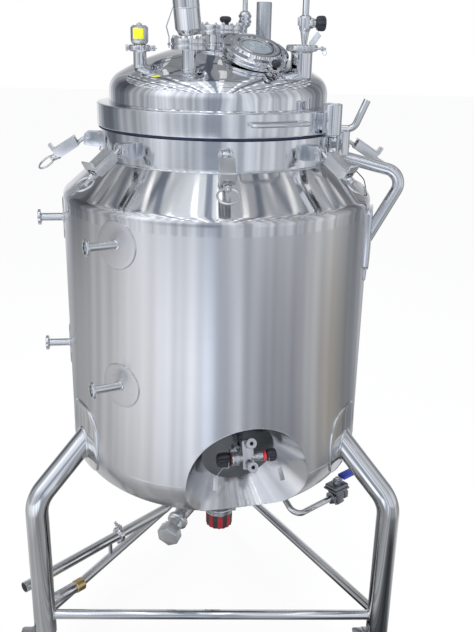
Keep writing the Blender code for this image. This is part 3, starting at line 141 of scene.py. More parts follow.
# %% Grids, turned shapes, tubes and slabs
def moved(points, m):
    return points @ m[:3, :3].T + m[:3, 3]


def full_turn(steps):
    """Angles at even spacing once round."""
    return np.linspace(0.0, 2.0 * math.pi, steps, endpoint=False)


def circle(radius, m=np.eye(4), steps=64):
    a = full_turn(steps)
    return moved(np.column_stack([radius * np.cos(a), radius * np.sin(a), 0.0 * a]), m)


def distance_along(line):
    """The way covered up to each point of a line."""
    return np.concatenate([[0.0], np.cumsum(np.linalg.norm(np.diff(line, axis=0), axis=1))])


def halved(is_far, near, far, tries):
    """Where is_far turns true between near and far, by halving the span again and again."""
    for _ in range(tries):
        mid = (near + far) / 2.0
        past = is_far(mid)
        near, far = np.where(past, near, mid), np.where(past, mid, far)
    return (near + far) / 2.0


def grid(points, wrap=False, m=np.eye(4)):
    """Faces between neighbours of a grid (rows, columns, 3); rows may close on themselves."""
    rows, cols = points.shape[:2]
    i = np.arange(rows if wrap else rows - 1)[:, None]
    j = np.arange(cols - 1)[None, :]
    n = (i + 1) % rows
    quads = np.stack([i * cols + j, i * cols + j + 1, n * cols + j + 1, n * cols + j], -1)
    return moved(points.reshape(-1, 3), m), quads.reshape(-1, 4).tolist()


def turned(profile, m=np.eye(4), steps=72):
    """Each (radius, height) of the profile goes round Z: x = r cos a, y = r sin a."""
    p = np.array(profile, float)
    a = full_turn(steps)[:, None]
    x, y = p[None, :, 0] * np.cos(a), p[None, :, 0] * np.sin(a)
    return grid(np.stack([x, y, np.broadcast_to(p[None, :, 1], x.shape)], -1), True, m)


def eased(points, radius, steps=4, closed=False):
    """Each corner of a line gives way to an arc that is tangent to both its sides."""
    p = [np.array(q, float) for q in points]
    n = len(p)
    out = [] if closed else [p[0]]
    for k in range(n) if closed else range(1, n - 1):
        back, ahead = p[k - 1] - p[k], p[(k + 1) % n] - p[k]
        lb, la = np.linalg.norm(back), np.linalg.norm(ahead)
        if min(lb, la) < 1e-7:
            continue
        back, ahead = back / lb, ahead / la
        half = math.acos(max(-1.0, min(1.0, float(back @ ahead)))) / 2.0
        if half > 1.54 or half < 0.02:
            out.append(p[k])
            continue
        reach = min(radius / math.tan(half), 0.49 * lb, 0.49 * la)
        r = reach * math.tan(half)
        centre = p[k] + (back + ahead) / np.linalg.norm(back + ahead) * r / math.sin(half)
        u, v = p[k] + back * reach - centre, p[k] + ahead * reach - centre
        sweep = math.pi - 2.0 * half
        t = np.linspace(0.0, 1.0, steps + 1)[:, None]
        out.extend(centre + (np.sin((1 - t) * sweep) * u + np.sin(t * sweep) * v) / math.sin(sweep))
    return np.array(out if closed else out + [p[-1]])


def mm(*points):
    """Points drawn in millimetres, given in metres."""
    return [tuple(c / 1000.0 for c in p) for p in points]


def lathe(profile, m=np.eye(4), steps=64, ease=0.0012):
    """A turned shape whose corners are broken by small arcs, as a lathe leaves them."""
    return turned(eased(profile, ease, 3), m, steps)


def rod(radius, low, high, m=np.eye(4), steps=24, ease=0.0012):
    """A round bar or disc between two heights. Its rims stay sharp where ease is 0."""
    profile = [(0.0, high), (radius, high), (radius, low), (0.0, low)]
    return lathe(profile, m, steps, ease) if ease else turned(profile, m, steps)


def swept(line, radius, sides=28, closed=False):
    """A circle carried along a line. Its frame turns with the tangent and never twists."""
    p = np.array(line, float)
    ahead = np.roll(p, -1, 0) - p if closed else np.gradient(p, axis=0)
    tangent = np.roll(p, -1, 0) - np.roll(p, 1, 0) if closed else ahead
    tangent = tangent / np.linalg.norm(tangent, axis=1)[:, None]
    side = np.cross(tangent[0], [0.0, 0.0, 1.0])
    if np.linalg.norm(side) < 0.1:
        side = np.cross(tangent[0], [1.0, 0.0, 0.0])
    sides_of = []
    for t in tangent:
        side = side - t * (side @ t)
        side = side / np.linalg.norm(side)
        sides_of.append(side)
    u = np.array(sides_of)
    v = np.cross(tangent, u)
    a = full_turn(sides)
    r = np.broadcast_to(np.asarray(radius, float), (len(p),))[:, None, None]
    cos_a, sin_a = np.cos(a)[None, :, None], np.sin(a)[None, :, None]
    rings = p[:, None] + r * (cos_a * u[:, None] + sin_a * v[:, None])
    if not closed:
        first, last = (np.repeat(q, sides, 1) for q in (p[:1, None], p[-1:, None]))
        rings = np.concatenate([first, rings, last])
        return grid(np.swapaxes(rings, 0, 1), True)
    return grid(np.concatenate([rings, rings[:1]]).swapaxes(0, 1), True)


def outset(outline, d):
    """A closed outline moved along its corner bisectors by d."""
    e = np.roll(outline, -1, 0) - outline
    n = np.stack([e[:, 1], -e[:, 0]], -1) / np.linalg.norm(e, axis=1)[:, None]
    b = n + np.roll(n, 1, 0)
    b = b / np.maximum((b * b).sum(1), 0.4)[:, None] * 2.0
    return outline + b * d


def slab(outline, bottom, top, m=np.eye(4), edge=0.0008, corner=0.0):
    """An outline given thickness, with all its rims rolled over by quarter arcs."""
    o = eased(outline, corner, 4, True) if corner > 0.0 else np.array(outline, float)
    t = np.linspace(0.0, math.pi / 2.0, 4)
    rows = [(edge * (math.sin(k) - 1.0), top - edge * (1.0 - math.cos(k))) for k in t]
    rows += [(edge * (math.cos(k) - 1.0), bottom + edge * (1.0 - math.sin(k))) for k in t]
    stack = [np.column_stack([outset(o, d), np.full(len(o), z)]) for d, z in rows]
    points, faces = grid(np.stack(stack, 1), True, m)
    n, c = len(o), len(rows)
    faces += [list(range(0, n * c, c)), list(range((n - 1) * c + c - 1, -1, -c))]
    return points, faces


def box(low, high, m=np.eye(4), edge=0.0012):
    (x0, y0, z0), (x1, y1, z1) = low, high
    return slab([(x0, y0), (x1, y0), (x1, y1), (x0, y1)], z0, z1, m, edge, edge)


def hexagon(radius, bottom, top, m=np.eye(4)):
    a = np.radians(np.arange(6) * 60.0)
    return slab(np.column_stack([np.cos(a), np.sin(a)]) * radius, bottom, top, m, 0.0009, 0.0009)


# %% [markdown]
# ## From grids to pieces
# A piece gets its mesh, its finish and its place in the moving model in one call.
# The drawing is made round the vessel's axis, so the axis is added to each point.

# %% Make a piece
made = {}


def piece(name, forms, finish, nodes=(), body="vessel", sharp=32.0, outward=True):
    """Join several grids in one mesh, weld what coincides and shade it smooth."""
    points, faces, count = [], [], 0
    for p, f in forms:
        points.append(p)
        faces += [[k + count for k in face] for face in f]
        count += len(p)
    mesh = bpy.data.meshes.new(name)
    mesh.from_pydata((np.concatenate(points) + AXIS).tolist(), [], faces)
    bm = bmesh.new()
    bm.from_mesh(mesh)
    bmesh.ops.remove_doubles(bm, verts=bm.verts, dist=2e-6)
    bmesh.ops.dissolve_degenerate(bm, edges=bm.edges, dist=1e-7)
    if outward:
        bmesh.ops.recalc_face_normals(bm, faces=bm.faces)
    bm.to_mesh(mesh)
    bm.free()
    mesh.shade_smooth()
    mesh.set_sharp_from_angle(angle=math.radians(sharp))
    obj = bpy.data.objects.new(name, mesh)
    bpy.context.scene.collection.objects.link(obj)
    mesh.materials.append(finish)
    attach(obj, body)
    if nodes:
        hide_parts(*nodes)
    made[name] = len(mesh.polygons)


# %% [markdown]
# ## Steel finishes
# Polished steel has hardly a colour of its own: it shows what is round it. What
# tells one finish from another is how blurred that picture is, the fine lines of
# the belt or the mop, and slow waves that bend it. All three are noise read from
# the object's own coordinates, and the lines are stretched along the polishing.

# %% Node helpers and the steels
def empty_material(name):
    mat = bpy.data.materials.new(name)
    mat.use_nodes = True
    return mat, mat.node_tree, mat.node_tree.nodes["Principled BSDF"]


def fill(tree, node, inputs):
    """Set a node's inputs, by name or number, to values or link them to sockets."""
    for key, value in inputs.items():
        if isinstance(value, bpy.types.NodeSocket):
            tree.links.new(value, node.inputs[key])
        else:
            node.inputs[key].default_value = value


def added(tree, kind, inputs, out=0, **settings):
    """A new node with its settings and inputs; one of its outputs comes back."""
    node = tree.nodes.new("ShaderNode" + kind)
    for key, value in settings.items():
        setattr(node, key, value)
    fill(tree, node, inputs)
    return node.outputs[out]


def own_point(tree, stretch=(1.0, 1.0, 1.0), shift=(0.0, 0.0, 0.0)):
    """The object's own coordinates times stretch, plus shift."""
    own = added(tree, "TexCoord", {}, "Object")
    return added(tree, "Mapping", {"Vector": own, "Scale": stretch, "Location": shift})


def split_xyz(tree, vector):
    node = tree.nodes.new("ShaderNodeSeparateXYZ")
    fill(tree, node, {0: vector})
    return node.outputs


def noise(tree, stretch, detail=3.0):
    """A noise value at the object's coordinates times stretch."""
    point = own_point(tree, stretch)
    return added(tree, "TexNoise", {"Scale": 1.0, "Detail": detail, "Vector": point}, "Fac")


def spread(tree, value, low, high, start=0.3, end=0.7):
    """Map start..end of a value to low..high, and keep it there."""
    return added(tree, "MapRange", {"Value": value, "From Min": start, "From Max": end,
        "To Min": low, "To Max": high})


def math_node(tree, operation, a, b):
    return added(tree, "Math", {0: a, 1: b}, operation=operation)


def ramp(tree, value, stops):
    node = tree.nodes.new("ShaderNodeValToRGB")
    marks = node.color_ramp.elements
    while len(marks) < len(stops):
        marks.new(0.5)
    for mark, (place, colour) in zip(marks, stops):
        mark.position = place
        mark.color = (*colour, 1.0)
    tree.links.new(value, node.inputs["Fac"])
    return node.outputs["Color"]


def bump(tree, height, strength, distance, before=None):
    """A bump by height, laid over the normal before it if there is one."""
    inputs = {"Height": height, "Strength": strength, "Distance": distance}
    return added(tree, "Bump", inputs if before is None else {**inputs, "Normal": before})


def steel(name, tone, rough, lines=(30.0, 30.0, 900.0), line_depth=0.00002, wave=0.0004,
        smudge=0.05, wave_scale=5.0, upright=0.0):
    """tone is the metal's colour, rough its blur, lines the stretch of its polishing marks.

    upright draws the blur out along the height, as marks that run round a piece do.
    """
    mat, tree, shader = empty_material(name)
    cloud, fine = noise(tree, (4.0, 4.0, 4.0), 4.0), noise(tree, lines, 2.0)
    darker = tuple(0.86 * c for c in tone)
    blur = math_node(tree, "ADD", spread(tree, cloud, rough, rough + smudge),
        spread(tree, fine, -0.25 * rough, 0.25 * rough))
    marks = bump(tree, fine, 0.6, line_depth)
    waves = bump(tree, noise(tree, (wave_scale,) * 3, 1.0), 0.8, wave, marks)
    fill(tree, shader, {"Metallic": 1.0, "Anisotropic": upright, "Anisotropic Rotation": 0.25,
        "Base Color": ramp(tree, cloud, [(0.3, darker), (0.62, tone)]), "Roughness": blur,
        "Normal": waves})
    return mat


MIRROR = steel("mirror_polish", (0.78, 0.79, 0.81), 0.035, wave=0.0009, smudge=0.03)
BAND = steel("turned_band", (0.74, 0.755, 0.78), 0.1, (8.0, 8.0, 700.0), 0.00001, 0.0005, 0.04, 6.0,
    0.7)
TUBE = steel("polished_tube", (0.78, 0.79, 0.8), 0.03, wave=0.0002, smudge=0.03)
CAST = steel("fine_cast", (0.66, 0.67, 0.69), 0.2, (12.0, 12.0, 12.0), 0.00001, 0.0001)
PLATED = steel("plated_sheet", (0.8, 0.81, 0.82), 0.27, (9.0, 9.0, 9.0), 0.00001, 0.0001)
DOME_STEEL = steel("spun_dome", (0.78, 0.79, 0.81), 0.03, wave=0.0024, smudge=0.03, wave_scale=11.0)
HANDLE = steel("handle_tube", (0.8, 0.81, 0.83), 0.15, wave=0.0002, smudge=0.03)
# Dark, dull steel for the ball valve; in the nozzle bores it is painted shade.
DULL_CAST_AND_SHADE = steel("dull_cast_and_shade", (0.33, 0.34, 0.36), 0.28, (400.0, 400.0, 400.0), 0.0001, 0.0001)
SATIN = steel("satin_sheet", (0.68, 0.68, 0.69), 0.33, (10.0, 10.0, 1200.0), 0.00001, 0.0002)
GREY_PIPE = steel("grey_pipe", (0.6, 0.63, 0.66), 0.28, (500.0, 500.0, 40.0), 0.00003, 0.0001)
BRASS = steel("brass_collar", (0.78, 0.6, 0.28), 0.25, (200.0, 200.0, 200.0), 0.00004, 0.0001)
print("steels:", len(bpy.data.materials), "made, the first is", MIRROR.name)


# %% [markdown]
# ## Plastics, rubber and glass
# The knobs are moulded, so they have a fine grain and are a little paler where
# they are worn. The sight glass is dulled from use: it passes a third of the light
# and blurs the rest.

# %% Plastics, rubber and glass
GRAIN = 0.00005


def moulded(name, colour, rough):
    mat, tree, shader = empty_material(name)
    cloud = noise(tree, (60.0, 60.0, 60.0), 3.0)
    worn = tuple(min(1.0, 1.25 * c + 0.01) for c in colour)
    fill(tree, shader, {"Base Color": ramp(tree, cloud, [(0.35, colour), (0.7, worn)]),
        "Roughness": spread(tree, cloud, rough, rough + 0.12),
        "Normal": bump(tree, noise(tree, (900.0,) * 3, 2.0), 0.5, GRAIN)})
    return mat


BLACK = moulded("black_knob", (0.012, 0.013, 0.02), 0.3)
# Matt black for the disc that paints the shade inside the drain pipe's open mouth.
MOUTH_SHADE = moulded("black_rubber", (0.01, 0.01, 0.013), 0.55)
GASKET = moulded("blue_black_gasket", (0.006, 0.009, 0.035), 0.6)
RED = moulded("red_plastic", (0.46, 0.02, 0.035), 0.35)
DARK_RED = moulded("dark_red_rim", (0.16, 0.008, 0.012), 0.4)
BLUE = moulded("blue_sleeve", (0.02, 0.045, 0.36), 0.38)
YELLOW = moulded("yellow_label", (0.78, 0.8, 0.02), 0.5)
WHEEL = moulded("grey_tread", (0.2, 0.205, 0.21), 0.55)
PAPER = moulded("pale_tag", (0.33, 0.36, 0.4), 0.45)

GLASS, tree, shader = empty_material("sight_glass")
fill(tree, shader, {"Base Color": (0.24, 0.28, 0.31, 1.0), "Transmission Weight": 0.35, "IOR": 1.48,
    "Roughness": spread(tree, noise(tree, (30.0,) * 3), 0.01, 0.07)})
print("plain materials:", BLACK.name, MOUTH_SHADE.name, GLASS.name)

# %% [markdown]
# ## The jacket as one line
# The jacket is a sheet of revolution, so one line gives its whole form: a sloping
# shoulder, a small bend, the straight wall, then the knuckle and the crown of the
# dished bottom. The arcs are tangent to each other, as a spun head has them.

# %% The jacket's line
def arc(radius, centre, start, end, steps):
    a = np.radians(np.linspace(start, end, steps + 1))
    return np.column_stack([centre[0] + radius * np.cos(a), centre[1] + radius * np.sin(a)])


def shoulder(grow):
    """A cone from the flange, tangent to the arc that leads into the wall."""
    centre = np.array([SHELL_R - SHOULDER_ARC_R, WALL_TOP])
    start = np.array([0.3745, -0.0885])
    reach = centre - start
    slope = math.atan2(reach[1], reach[0]) + math.asin(SHOULDER_ARC_R / np.linalg.norm(reach))
    up = np.array([-math.sin(slope), math.cos(slope)])
    bend = arc(SHOULDER_ARC_R + grow, centre, 90.0 + math.degrees(slope), 0.0, 10)
    return np.concatenate([[start + up * grow], bend])


def dished(radius, knuckle, crown, steps=14, grow=0.0):
    """Knuckle arc, then crown arc down to the axis, below height 0."""
    lean = math.degrees(math.asin((radius - knuckle) / (crown - knuckle)))
    rim = arc(knuckle + grow, (radius - knuckle, 0.0), 0.0, lean - 90.0, steps)
    rise = math.cos(math.radians(lean)) * (crown - knuckle)
    head = arc(crown + grow, (0.0, rise), lean - 90.0, -90.0, steps + 8)[1:]
    head[-1, 0] = 0.0
    return np.concatenate([rim, head])


def jacket_line(grow=0.0):
    """The line from the flange to the lowest point, grow outside the sheet."""
    bottom = dished(SHELL_R, KNUCKLE_R, CROWN_R, 14, grow) + [0.0, WALL_END]
    return np.concatenate([shoulder(grow), bottom])


line = jacket_line()
print("jacket line:", len(line), "points, lowest", round(float(line[:, 1].min()) + Z, 4))


# %% [markdown]
# ## A hole in a surface of revolution
# The funnel opens through wall and knuckle at a slant. A Boolean would leave thin
# triangles that show as dents in polished metal. Here the sheet is unrolled to
# angle and distance along the line, and a window in that flat sheet is filled by
# rows that run from the window's frame to the hole's rim. All points stay on the
# true surface, so the reflections stay clean.

# %% Pierced surfaces of revolution
def pierced(line, rim, centre, half_angle, s_low, s_high, spacing=0.014, turns=240, rows=14):
    """Grid of a turned line with a window, and rows from the window to the rim curve.

    rim holds (angle, s) of the hole; the window is centre +- half_angle by s_low..s_high.
    """
    run = distance_along(line)
    even = np.linspace(0.0, run[-1], int(run[-1] / spacing))
    s = np.unique(np.concatenate([even, run, [s_low, s_high]]))

    def on_sheet(angle, along_s):
        r, h = np.interp(along_s, run, line[:, 0]), np.interp(along_s, run, line[:, 1])
        return np.stack([r * np.cos(angle), r * np.sin(angle), h + Z], -1)

    step = 2.0 * math.pi / turns
    wide = int(round(half_angle / step))
    angles = centre + step * np.arange(-wide, turns - wide)
    points = on_sheet(angles[:, None], np.broadcast_to(s, (turns, len(s))))
    body, faces = grid(points, True)
    k0, k1 = np.searchsorted(s, s_low - 1e-9), np.searchsorted(s, s_high - 1e-9)
    quads = np.array(faces).reshape(turns, len(s) - 1, 4)
    keep = np.ones((turns, len(s) - 1), bool)
    keep[: 2 * wide, k0:k1] = False
    mid = np.array([centre, rim[:, 1].mean()])
    size = np.interp(mid[1], run, line[:, 0])
    left = [(angles[0], v) for v in s[k0:k1 + 1]]
    low_side = [(v, s[k1]) for v in angles[1:2 * wide + 1]]
    right = [(angles[2 * wide], v) for v in s[k0:k1][::-1]]
    top_side = [(v, s[k0]) for v in angles[1:2 * wide][::-1]]
    edge = np.array(left + low_side + right + top_side)
    flat = (edge - mid) * [size, 1.0]
    hole = (rim - mid) * [size, 1.0]
    phi = np.arctan2(hole[:, 1], hole[:, 0])
    order = np.argsort(phi)
    reach = np.interp(np.arctan2(flat[:, 1], flat[:, 0]), phi[order],
        np.hypot(hole[:, 0], hole[:, 1])[order], period=2.0 * math.pi)
    far = np.hypot(flat[:, 0], flat[:, 1])
    w = np.linspace(0.0, 1.0, rows + 1) ** 1.3
    dist = far[:, None] + (reach - far)[:, None] * w
    uv = flat[:, None] / far[:, None, None] * dist[..., None] / [size, 1.0] + mid
    patch, patch_faces = grid(on_sheet(uv[..., 0], uv[..., 1]), True)
    return (body, quads[keep].tolist()), (patch, patch_faces), on_sheet(uv[:, -1, 0], uv[:, -1, 1])


# %% [markdown]
# ## The funnel's mouth
# The funnel is a cone that looks down a little. Each straight line of the cone
# is followed outwards until it leaves the jacket, and halving the step finds that
# point. The row of such points is the rim that cone and jacket share. The plate
# at the funnel's end gets a darker copy of the funnel's finish, which paints the
# shade in the funnel's recess.

# %% The funnel and the jacket
THROAT = np.array([0.0767, -0.3439, -0.9874])
THROAT_R, SPREAD = 0.1194, math.tan(math.radians(34.2))
FUNNEL = along(THROAT + [0.0, 0.0, Z], heading(-75.8, -15.5))
outer_line = line[: int(np.argmin(line[:, 1])) + 1]


def cone_point(theta, t):
    """x = (r0 + t tan) cos, y = (r0 + t tan) sin, z = t, in the funnel's frame."""
    r = THROAT_R + t * SPREAD
    return moved(np.stack([r * np.cos(theta), r * np.sin(theta), t + 0.0 * theta], -1), FUNNEL)


def outside(p):
    """How far a point lies outside the jacket's line at its own height."""
    r_line = np.interp(-(p[..., 2] - Z), -outer_line[:, 1], outer_line[:, 0], right=0.0)
    return np.hypot(p[..., 0], p[..., 1]) - r_line


theta = full_turn(360)
rim_t = halved(lambda t: outside(cone_point(theta, t)) > 0.0, 0.0 * theta, 0.0 * theta + 0.45, 40)
rim_xyz = cone_point(theta, rim_t)
run = distance_along(line)
rim_s = np.interp(-(rim_xyz[:, 2] - Z), -outer_line[:, 1], run[: len(outer_line)])
rim = np.column_stack([np.arctan2(rim_xyz[:, 1], rim_xyz[:, 0]), rim_s])
WINDOW_AZ, WINDOW_HALF, WINDOW_EDGE = math.radians(-76.0), math.radians(40.0), 0.05
sheet, window, rim_points = pierced(line, rim, WINDOW_AZ, WINDOW_HALF, rim_s.min() - WINDOW_EDGE,
    rim_s.max() + WINDOW_EDGE)

local = moved(rim_points, np.linalg.inv(FUNNEL))
angle = np.arctan2(local[:, 1], local[:, 0])
depth = local[:, 2]
CONE_ROWS = 22
share = np.linspace(1.0, 0.0, CONE_ROWS)[None, :]
cone = cone_point(np.repeat(angle[:, None], CONE_ROWS, 1), depth[:, None] * share)
cone[:, 0] = rim_points
back = cone[:, -1:]
plate_mid = moved(np.zeros((1, 3)), FUNNEL)
disc_rows = back + (plate_mid - back) * np.array([0.0, 0.35, 0.7, 1.0])[None, :, None]
cone_form, back_form = grid(cone, True), grid(disc_rows, True)

shell_finish, tree, shader = empty_material("satin_jacket")
MATT_BELOW, POLISHED_ABOVE = Z - 0.246, Z - 0.242
height_up = split_xyz(tree, own_point(tree))["Z"]
polished = spread(tree, height_up, 0.0, 1.0, MATT_BELOW, POLISHED_ABOVE)
lines_fine, lines_wide = noise(tree, (6.0, 6.0, 1100.0), 2.0), noise(tree, (2.0, 2.0, 1.2), 3.0)
cloud, slow_waves = noise(tree, (3.0, 3.0, 3.0), 4.0), noise(tree, (7.0, 7.0, 1.0), 1.0)
matt = math_node(tree, "ADD", spread(tree, lines_fine, 0.205, 0.225),
    spread(tree, cloud, 0.0, 0.04))
blank = math_node(tree, "MULTIPLY", matt, math_node(tree, "SUBTRACT", 1.0, polished))
shine = math_node(tree, "MULTIPLY", spread(tree, cloud, 0.06, 0.12), polished)
tones = [(0.35, (0.645, 0.645, 0.655)), (0.65, (0.685, 0.685, 0.695))]
fine_marks = bump(tree, lines_fine, 0.3, 0.000006)
fill(tree, shader, {"Metallic": 1.0, "Anisotropic": 0.86, "Anisotropic Rotation": 0.25,
    "Base Color": ramp(tree, lines_wide, tones), "Roughness": math_node(tree, "ADD", blank, shine),
    "Normal": bump(tree, slow_waves, 0.6, 0.0006, fine_marks)})
piece("jacket", [sheet, window], shell_finish, ("jacket_shell", "jacket_bottom"),
    outward=False, sharp=50.0)
print("mouth:", rim_points.min(0).round(3), rim_points.max(0).round(3))

FUNNEL_STEEL = steel("funnel_satin", (0.7, 0.705, 0.72), 0.13, (60.0, 60.0, 60.0), 0.00001, 0.0009,
    0.05, 4.0)
# The end plate is a darker copy of the funnel's satin: painted shade for the funnel's recess.
FUNNEL_BACK_SHADE = steel("funnel_back_shade", (0.27, 0.285, 0.3), 0.16, (60.0, 60.0, 60.0), 0.00001, 0.0009,
    0.05, 4.0)
piece("funnel", [cone_form], FUNNEL_STEEL, ("outlet_funnel",), outward=False,
    sharp=40.0)
piece("funnel_end_shade", [back_form], FUNNEL_BACK_SHADE, outward=False, sharp=40.0)


# %% [markdown]
# ## Weld lines
# A ground weld still shows as a thin raised line. Each one is a small bead carried
# along the seam: round the bottom's seam, round the funnel's mouth and the pads.

# %% Weld lines
def bead(line_points, radius=0.0011, sides=6):
    return swept(line_points, radius, sides, closed=True)


def ring_line(radius, height, steps=160):
    return circle(radius, at(0.0, 0.0, height), steps)


def on_jacket(azimuth, height, outline, lift):
    """An outline of (sideways, up) bent onto the jacket: angle = sideways / radius."""
    o = np.array(outline, float)
    s0 = np.interp(-(height - Z), -outer_line[:, 1], run[: len(outer_line)])
    s_at = s0 - o[..., 1]
    grown = jacket_line(lift)
    grown_run = np.interp(s_at, run, np.linspace(0, len(run) - 1, len(run)))
    r = np.interp(grown_run, np.arange(len(grown)), grown[:, 0])
    h = np.interp(grown_run, np.arange(len(grown)), grown[:, 1])
    a = math.radians(azimuth) + o[..., 0] / np.maximum(r, 0.2)
    return np.stack([r * np.cos(a), r * np.sin(a), h + Z], -1)


def oval(half_width, half_height, power=2.0, count=72):
    a = full_turn(count)
    c, s = np.cos(a), np.sin(a)
    return np.column_stack([half_width * np.sign(c) * np.abs(c) ** (2.0 / power),
        half_height * np.sign(s) * np.abs(s) ** (2.0 / power)])


def pad(azimuth, height, outline, thick):
    """A plate that lies on the jacket: its rim rolls down to the sheet."""
    rows = 8
    shares = np.concatenate([np.linspace(0.0, 0.94, rows), [0.985, 1.0, 1.0]])
    lifts = np.concatenate([np.full(rows, thick), [0.85 * thick, 0.4 * thick, -0.0006]])
    rings = [on_jacket(azimuth, height, outline * k, l) for k, l in zip(shares, lifts)]
    return grid(np.stack(rings, 1), True)


seam = ring_line(SHELL_R, Z + WALL_END, 360)
local = moved(seam, np.linalg.inv(FUNNEL))
solid = np.hypot(local[:, 0], local[:, 1]) > THROAT_R + local[:, 2] * SPREAD + 0.002
solid |= local[:, 2] < 0.0
first = int(np.argmax(~solid & np.roll(solid, -1))) + 1
seam = np.roll(seam, -first, 0)[: int(solid.sum())]
piece("weld_lines", [swept(seam, 0.0012, 6), bead(rim_points[::2], 0.001)], BAND)


# %% [markdown]
# ## Flanges, gasket and dome
# The two flanges are turned rings with broken corners, and the thin dark line
# between them is the gasket. The dome has a hole for the hatch, made in the same
# way as the funnel's mouth: a cylinder about the hatch's axis meets the crown.

# %% Hatch frame and the dome
HATCH_AT = np.array([0.102, -0.17, 0.2165 + Z])
HATCH_AZ = -62.0
HATCH = along(HATCH_AT, heading(HATCH_AZ, 65.0), heading(HATCH_AZ, 0.0))
HATCH_R, BORE_R = 0.0985, 0.076
dome_line = dished(DOME_R, DOME_KNUCKLE_R, DOME_CROWN_R, 18)[::-1] * [1.0, -1.0]
dome_line = np.concatenate([dome_line + [0.0, DOME_STRAIGHT], [[DOME_R, 0.074]]])


def dome_height(radius):
    return np.interp(radius, dome_line[:-1, 0], dome_line[:-1, 1])


def bore_point(depth):
    a = full_turn(180)
    return moved(np.column_stack([BORE_R * np.cos(a), BORE_R * np.sin(a), depth]), HATCH)


def above_dome(depth):
    p = bore_point(depth)
    return p[:, 2] - Z > dome_height(np.hypot(p[:, 0], p[:, 1]))


p = bore_point(halved(above_dome, np.full(180, -0.12), np.full(180, 0.12), 36))
dome_run = distance_along(dome_line)
rim_az = np.arctan2(p[:, 1], p[:, 0])
rim_s = np.interp(np.hypot(p[:, 0], p[:, 1]), dome_line[:-1, 0], dome_run[:-1])
dome_rim = np.column_stack([rim_az, rim_s])
WINDOW_AZ, WINDOW_HALF, WINDOW_EDGE = math.radians(-59.0), math.radians(33.0), 0.02
crown, crown_window, _ = pierced(dome_line, dome_rim, WINDOW_AZ, WINDOW_HALF,
    rim_s.min() - WINDOW_EDGE, rim_s.max() + WINDOW_EDGE, 0.008, 200, 10)
piece("dome", [crown, crown_window], DOME_STEEL, ("lid_dome",), outward=False,
    sharp=60.0)

# %% Flanges and gasket
LOW, TOP, LID_BORE = Z + 0.0058, Z + 0.0748, 0.3405
flange = [(LID_BORE, TOP), (LID_R - 0.003, TOP), (LID_R, TOP - 0.003), (LID_R, LOW + 0.002),
    (LID_R - 0.003, LOW), (LID_BORE, LOW), (LID_BORE, TOP)]
piece("lid_ring", [lathe(flange, steps=180, ease=0.003)], BAND, ("lid_flange",))
gasket = [(LID_R - 0.0037, Z + 0.0055), (LID_R - 0.003, Z + 0.0028), (LID_R - 0.0037, Z),
    (LID_BORE, Z), (LID_BORE, Z + 0.0055), (LID_R - 0.0037, Z + 0.0055)]
piece("gasket", [lathe(gasket, steps=160, ease=0.0008)], GASKET, ("lid_gasket",))
piece("dome_weld", [bead(ring_line(DOME_R + 0.0005, TOP), 0.0022, 8)], MIRROR)
print("dome and flanges:", made["dome"], "+", made["lid_ring"], "faces")

# %% [markdown]
# ## Body flange with its lugs
# Eight pairs of ears stand on the flange. Each pair carries a pin, and an open
# clamp rests on a bar between them. The ears are cut from plate, so each one is an
# outline given thickness with a small rolled edge.

# %% Body flange and lugs
BODY_BORE, BODY_TOP, BODY_LOW = 0.339, Z - 0.0003, Z - 0.0882
PIN_R, PIN_Z, REST_LEAN = 0.414, Z - 0.033, 32.5
body = [(BODY_BORE, BODY_TOP), (FLANGE_R - 0.002, BODY_TOP), (FLANGE_R, Z - 0.0025),
    (FLANGE_R, Z - 0.074), (0.3739, BODY_LOW), (BODY_BORE, BODY_LOW), (BODY_BORE, BODY_TOP)]
flange_forms = [lathe(body, steps=180, ease=0.002)]
lean_c, lean_s = math.cos(math.radians(REST_LEAN)), math.sin(math.radians(REST_LEAN))
rest = at(0.02 * lean_c - 0.0105 * lean_s, -0.02 * lean_s - 0.0105 * lean_c)
ear = mm((-44, -34), (15, -28), (12, 6), (3, 13.5), (-44, 13.5))
for azimuth in CLAMP_AZ:
    hub = radial(azimuth, PIN_R, PIN_Z) @ turn("X", 90.0)
    for near_side in (0.0115, -0.0185):
        flange_forms.append(slab(ear, near_side, near_side + 0.007, hub, 0.0009, 0.003))
    flange_forms += [rod(0.0085, 0.0186, 0.0205, hub), rod(0.0085, -0.0205, -0.0186, hub)]
    flange_forms.append(rod(0.004, -0.013, 0.013, hub @ rest, 16, 0.0))
piece("body_flange_skin", flange_forms, BAND, ("body_flange",), sharp=40.0)
piece("flange_weld", [bead(ring_line(0.3752, Z - 0.0888), 0.0026, 8)], BAND)


# %% [markdown]
# ## Swing clamps
# Each clamp turns as one on its pin: an eye bolt, a folded channel that hooks over
# the lid, a nut and a ring to turn it by. Its pieces ride on the clamp's own body.

# %% Swing clamps
def clamp_forms(hub, roll):
    across, lengthwise = hub @ turn("X", 90.0), hub @ turn("Y", 90.0)
    web = mm((39, 19), (124, 19), (124, 41), (121, 44.5), (118, 42), (118, 27), (115, 25), (39, 25))
    cheek = mm((41, -10), (112, -10), (122.5, 2), (122.5, 22), (41, 22))
    forms = [slab(web, -0.022, 0.022, across, 0.0008),
        slab(cheek, 0.017, 0.0217, across, 0.0008, 0.002),
        slab(cheek, -0.0217, -0.017, across, 0.0008, 0.002),
        box((0.107, -0.018, -0.008), (0.112, 0.018, 0.021), hub),
        rod(0.0115, -0.0094, 0.0094, across, 36, 0.0016),
        rod(0.006, -0.0212, 0.0212, across, 28, 0.0),
        turned(mm((0, 144.5), (5, 144.5), (6.2, 142.5), (6.2, 0), (0, 0)), lengthwise, 28),
        hexagon(0.013, 0.114, 0.1235, lengthwise),
        lathe(mm((0, 137), (10.5, 137), (11, 123.5), (0, 123.5)), lengthwise, 32)]
    ring = circle(0.029, hub @ turn("X", roll) @ at(0.1615))
    return forms, swept(ring, 0.0032, 14, closed=True)


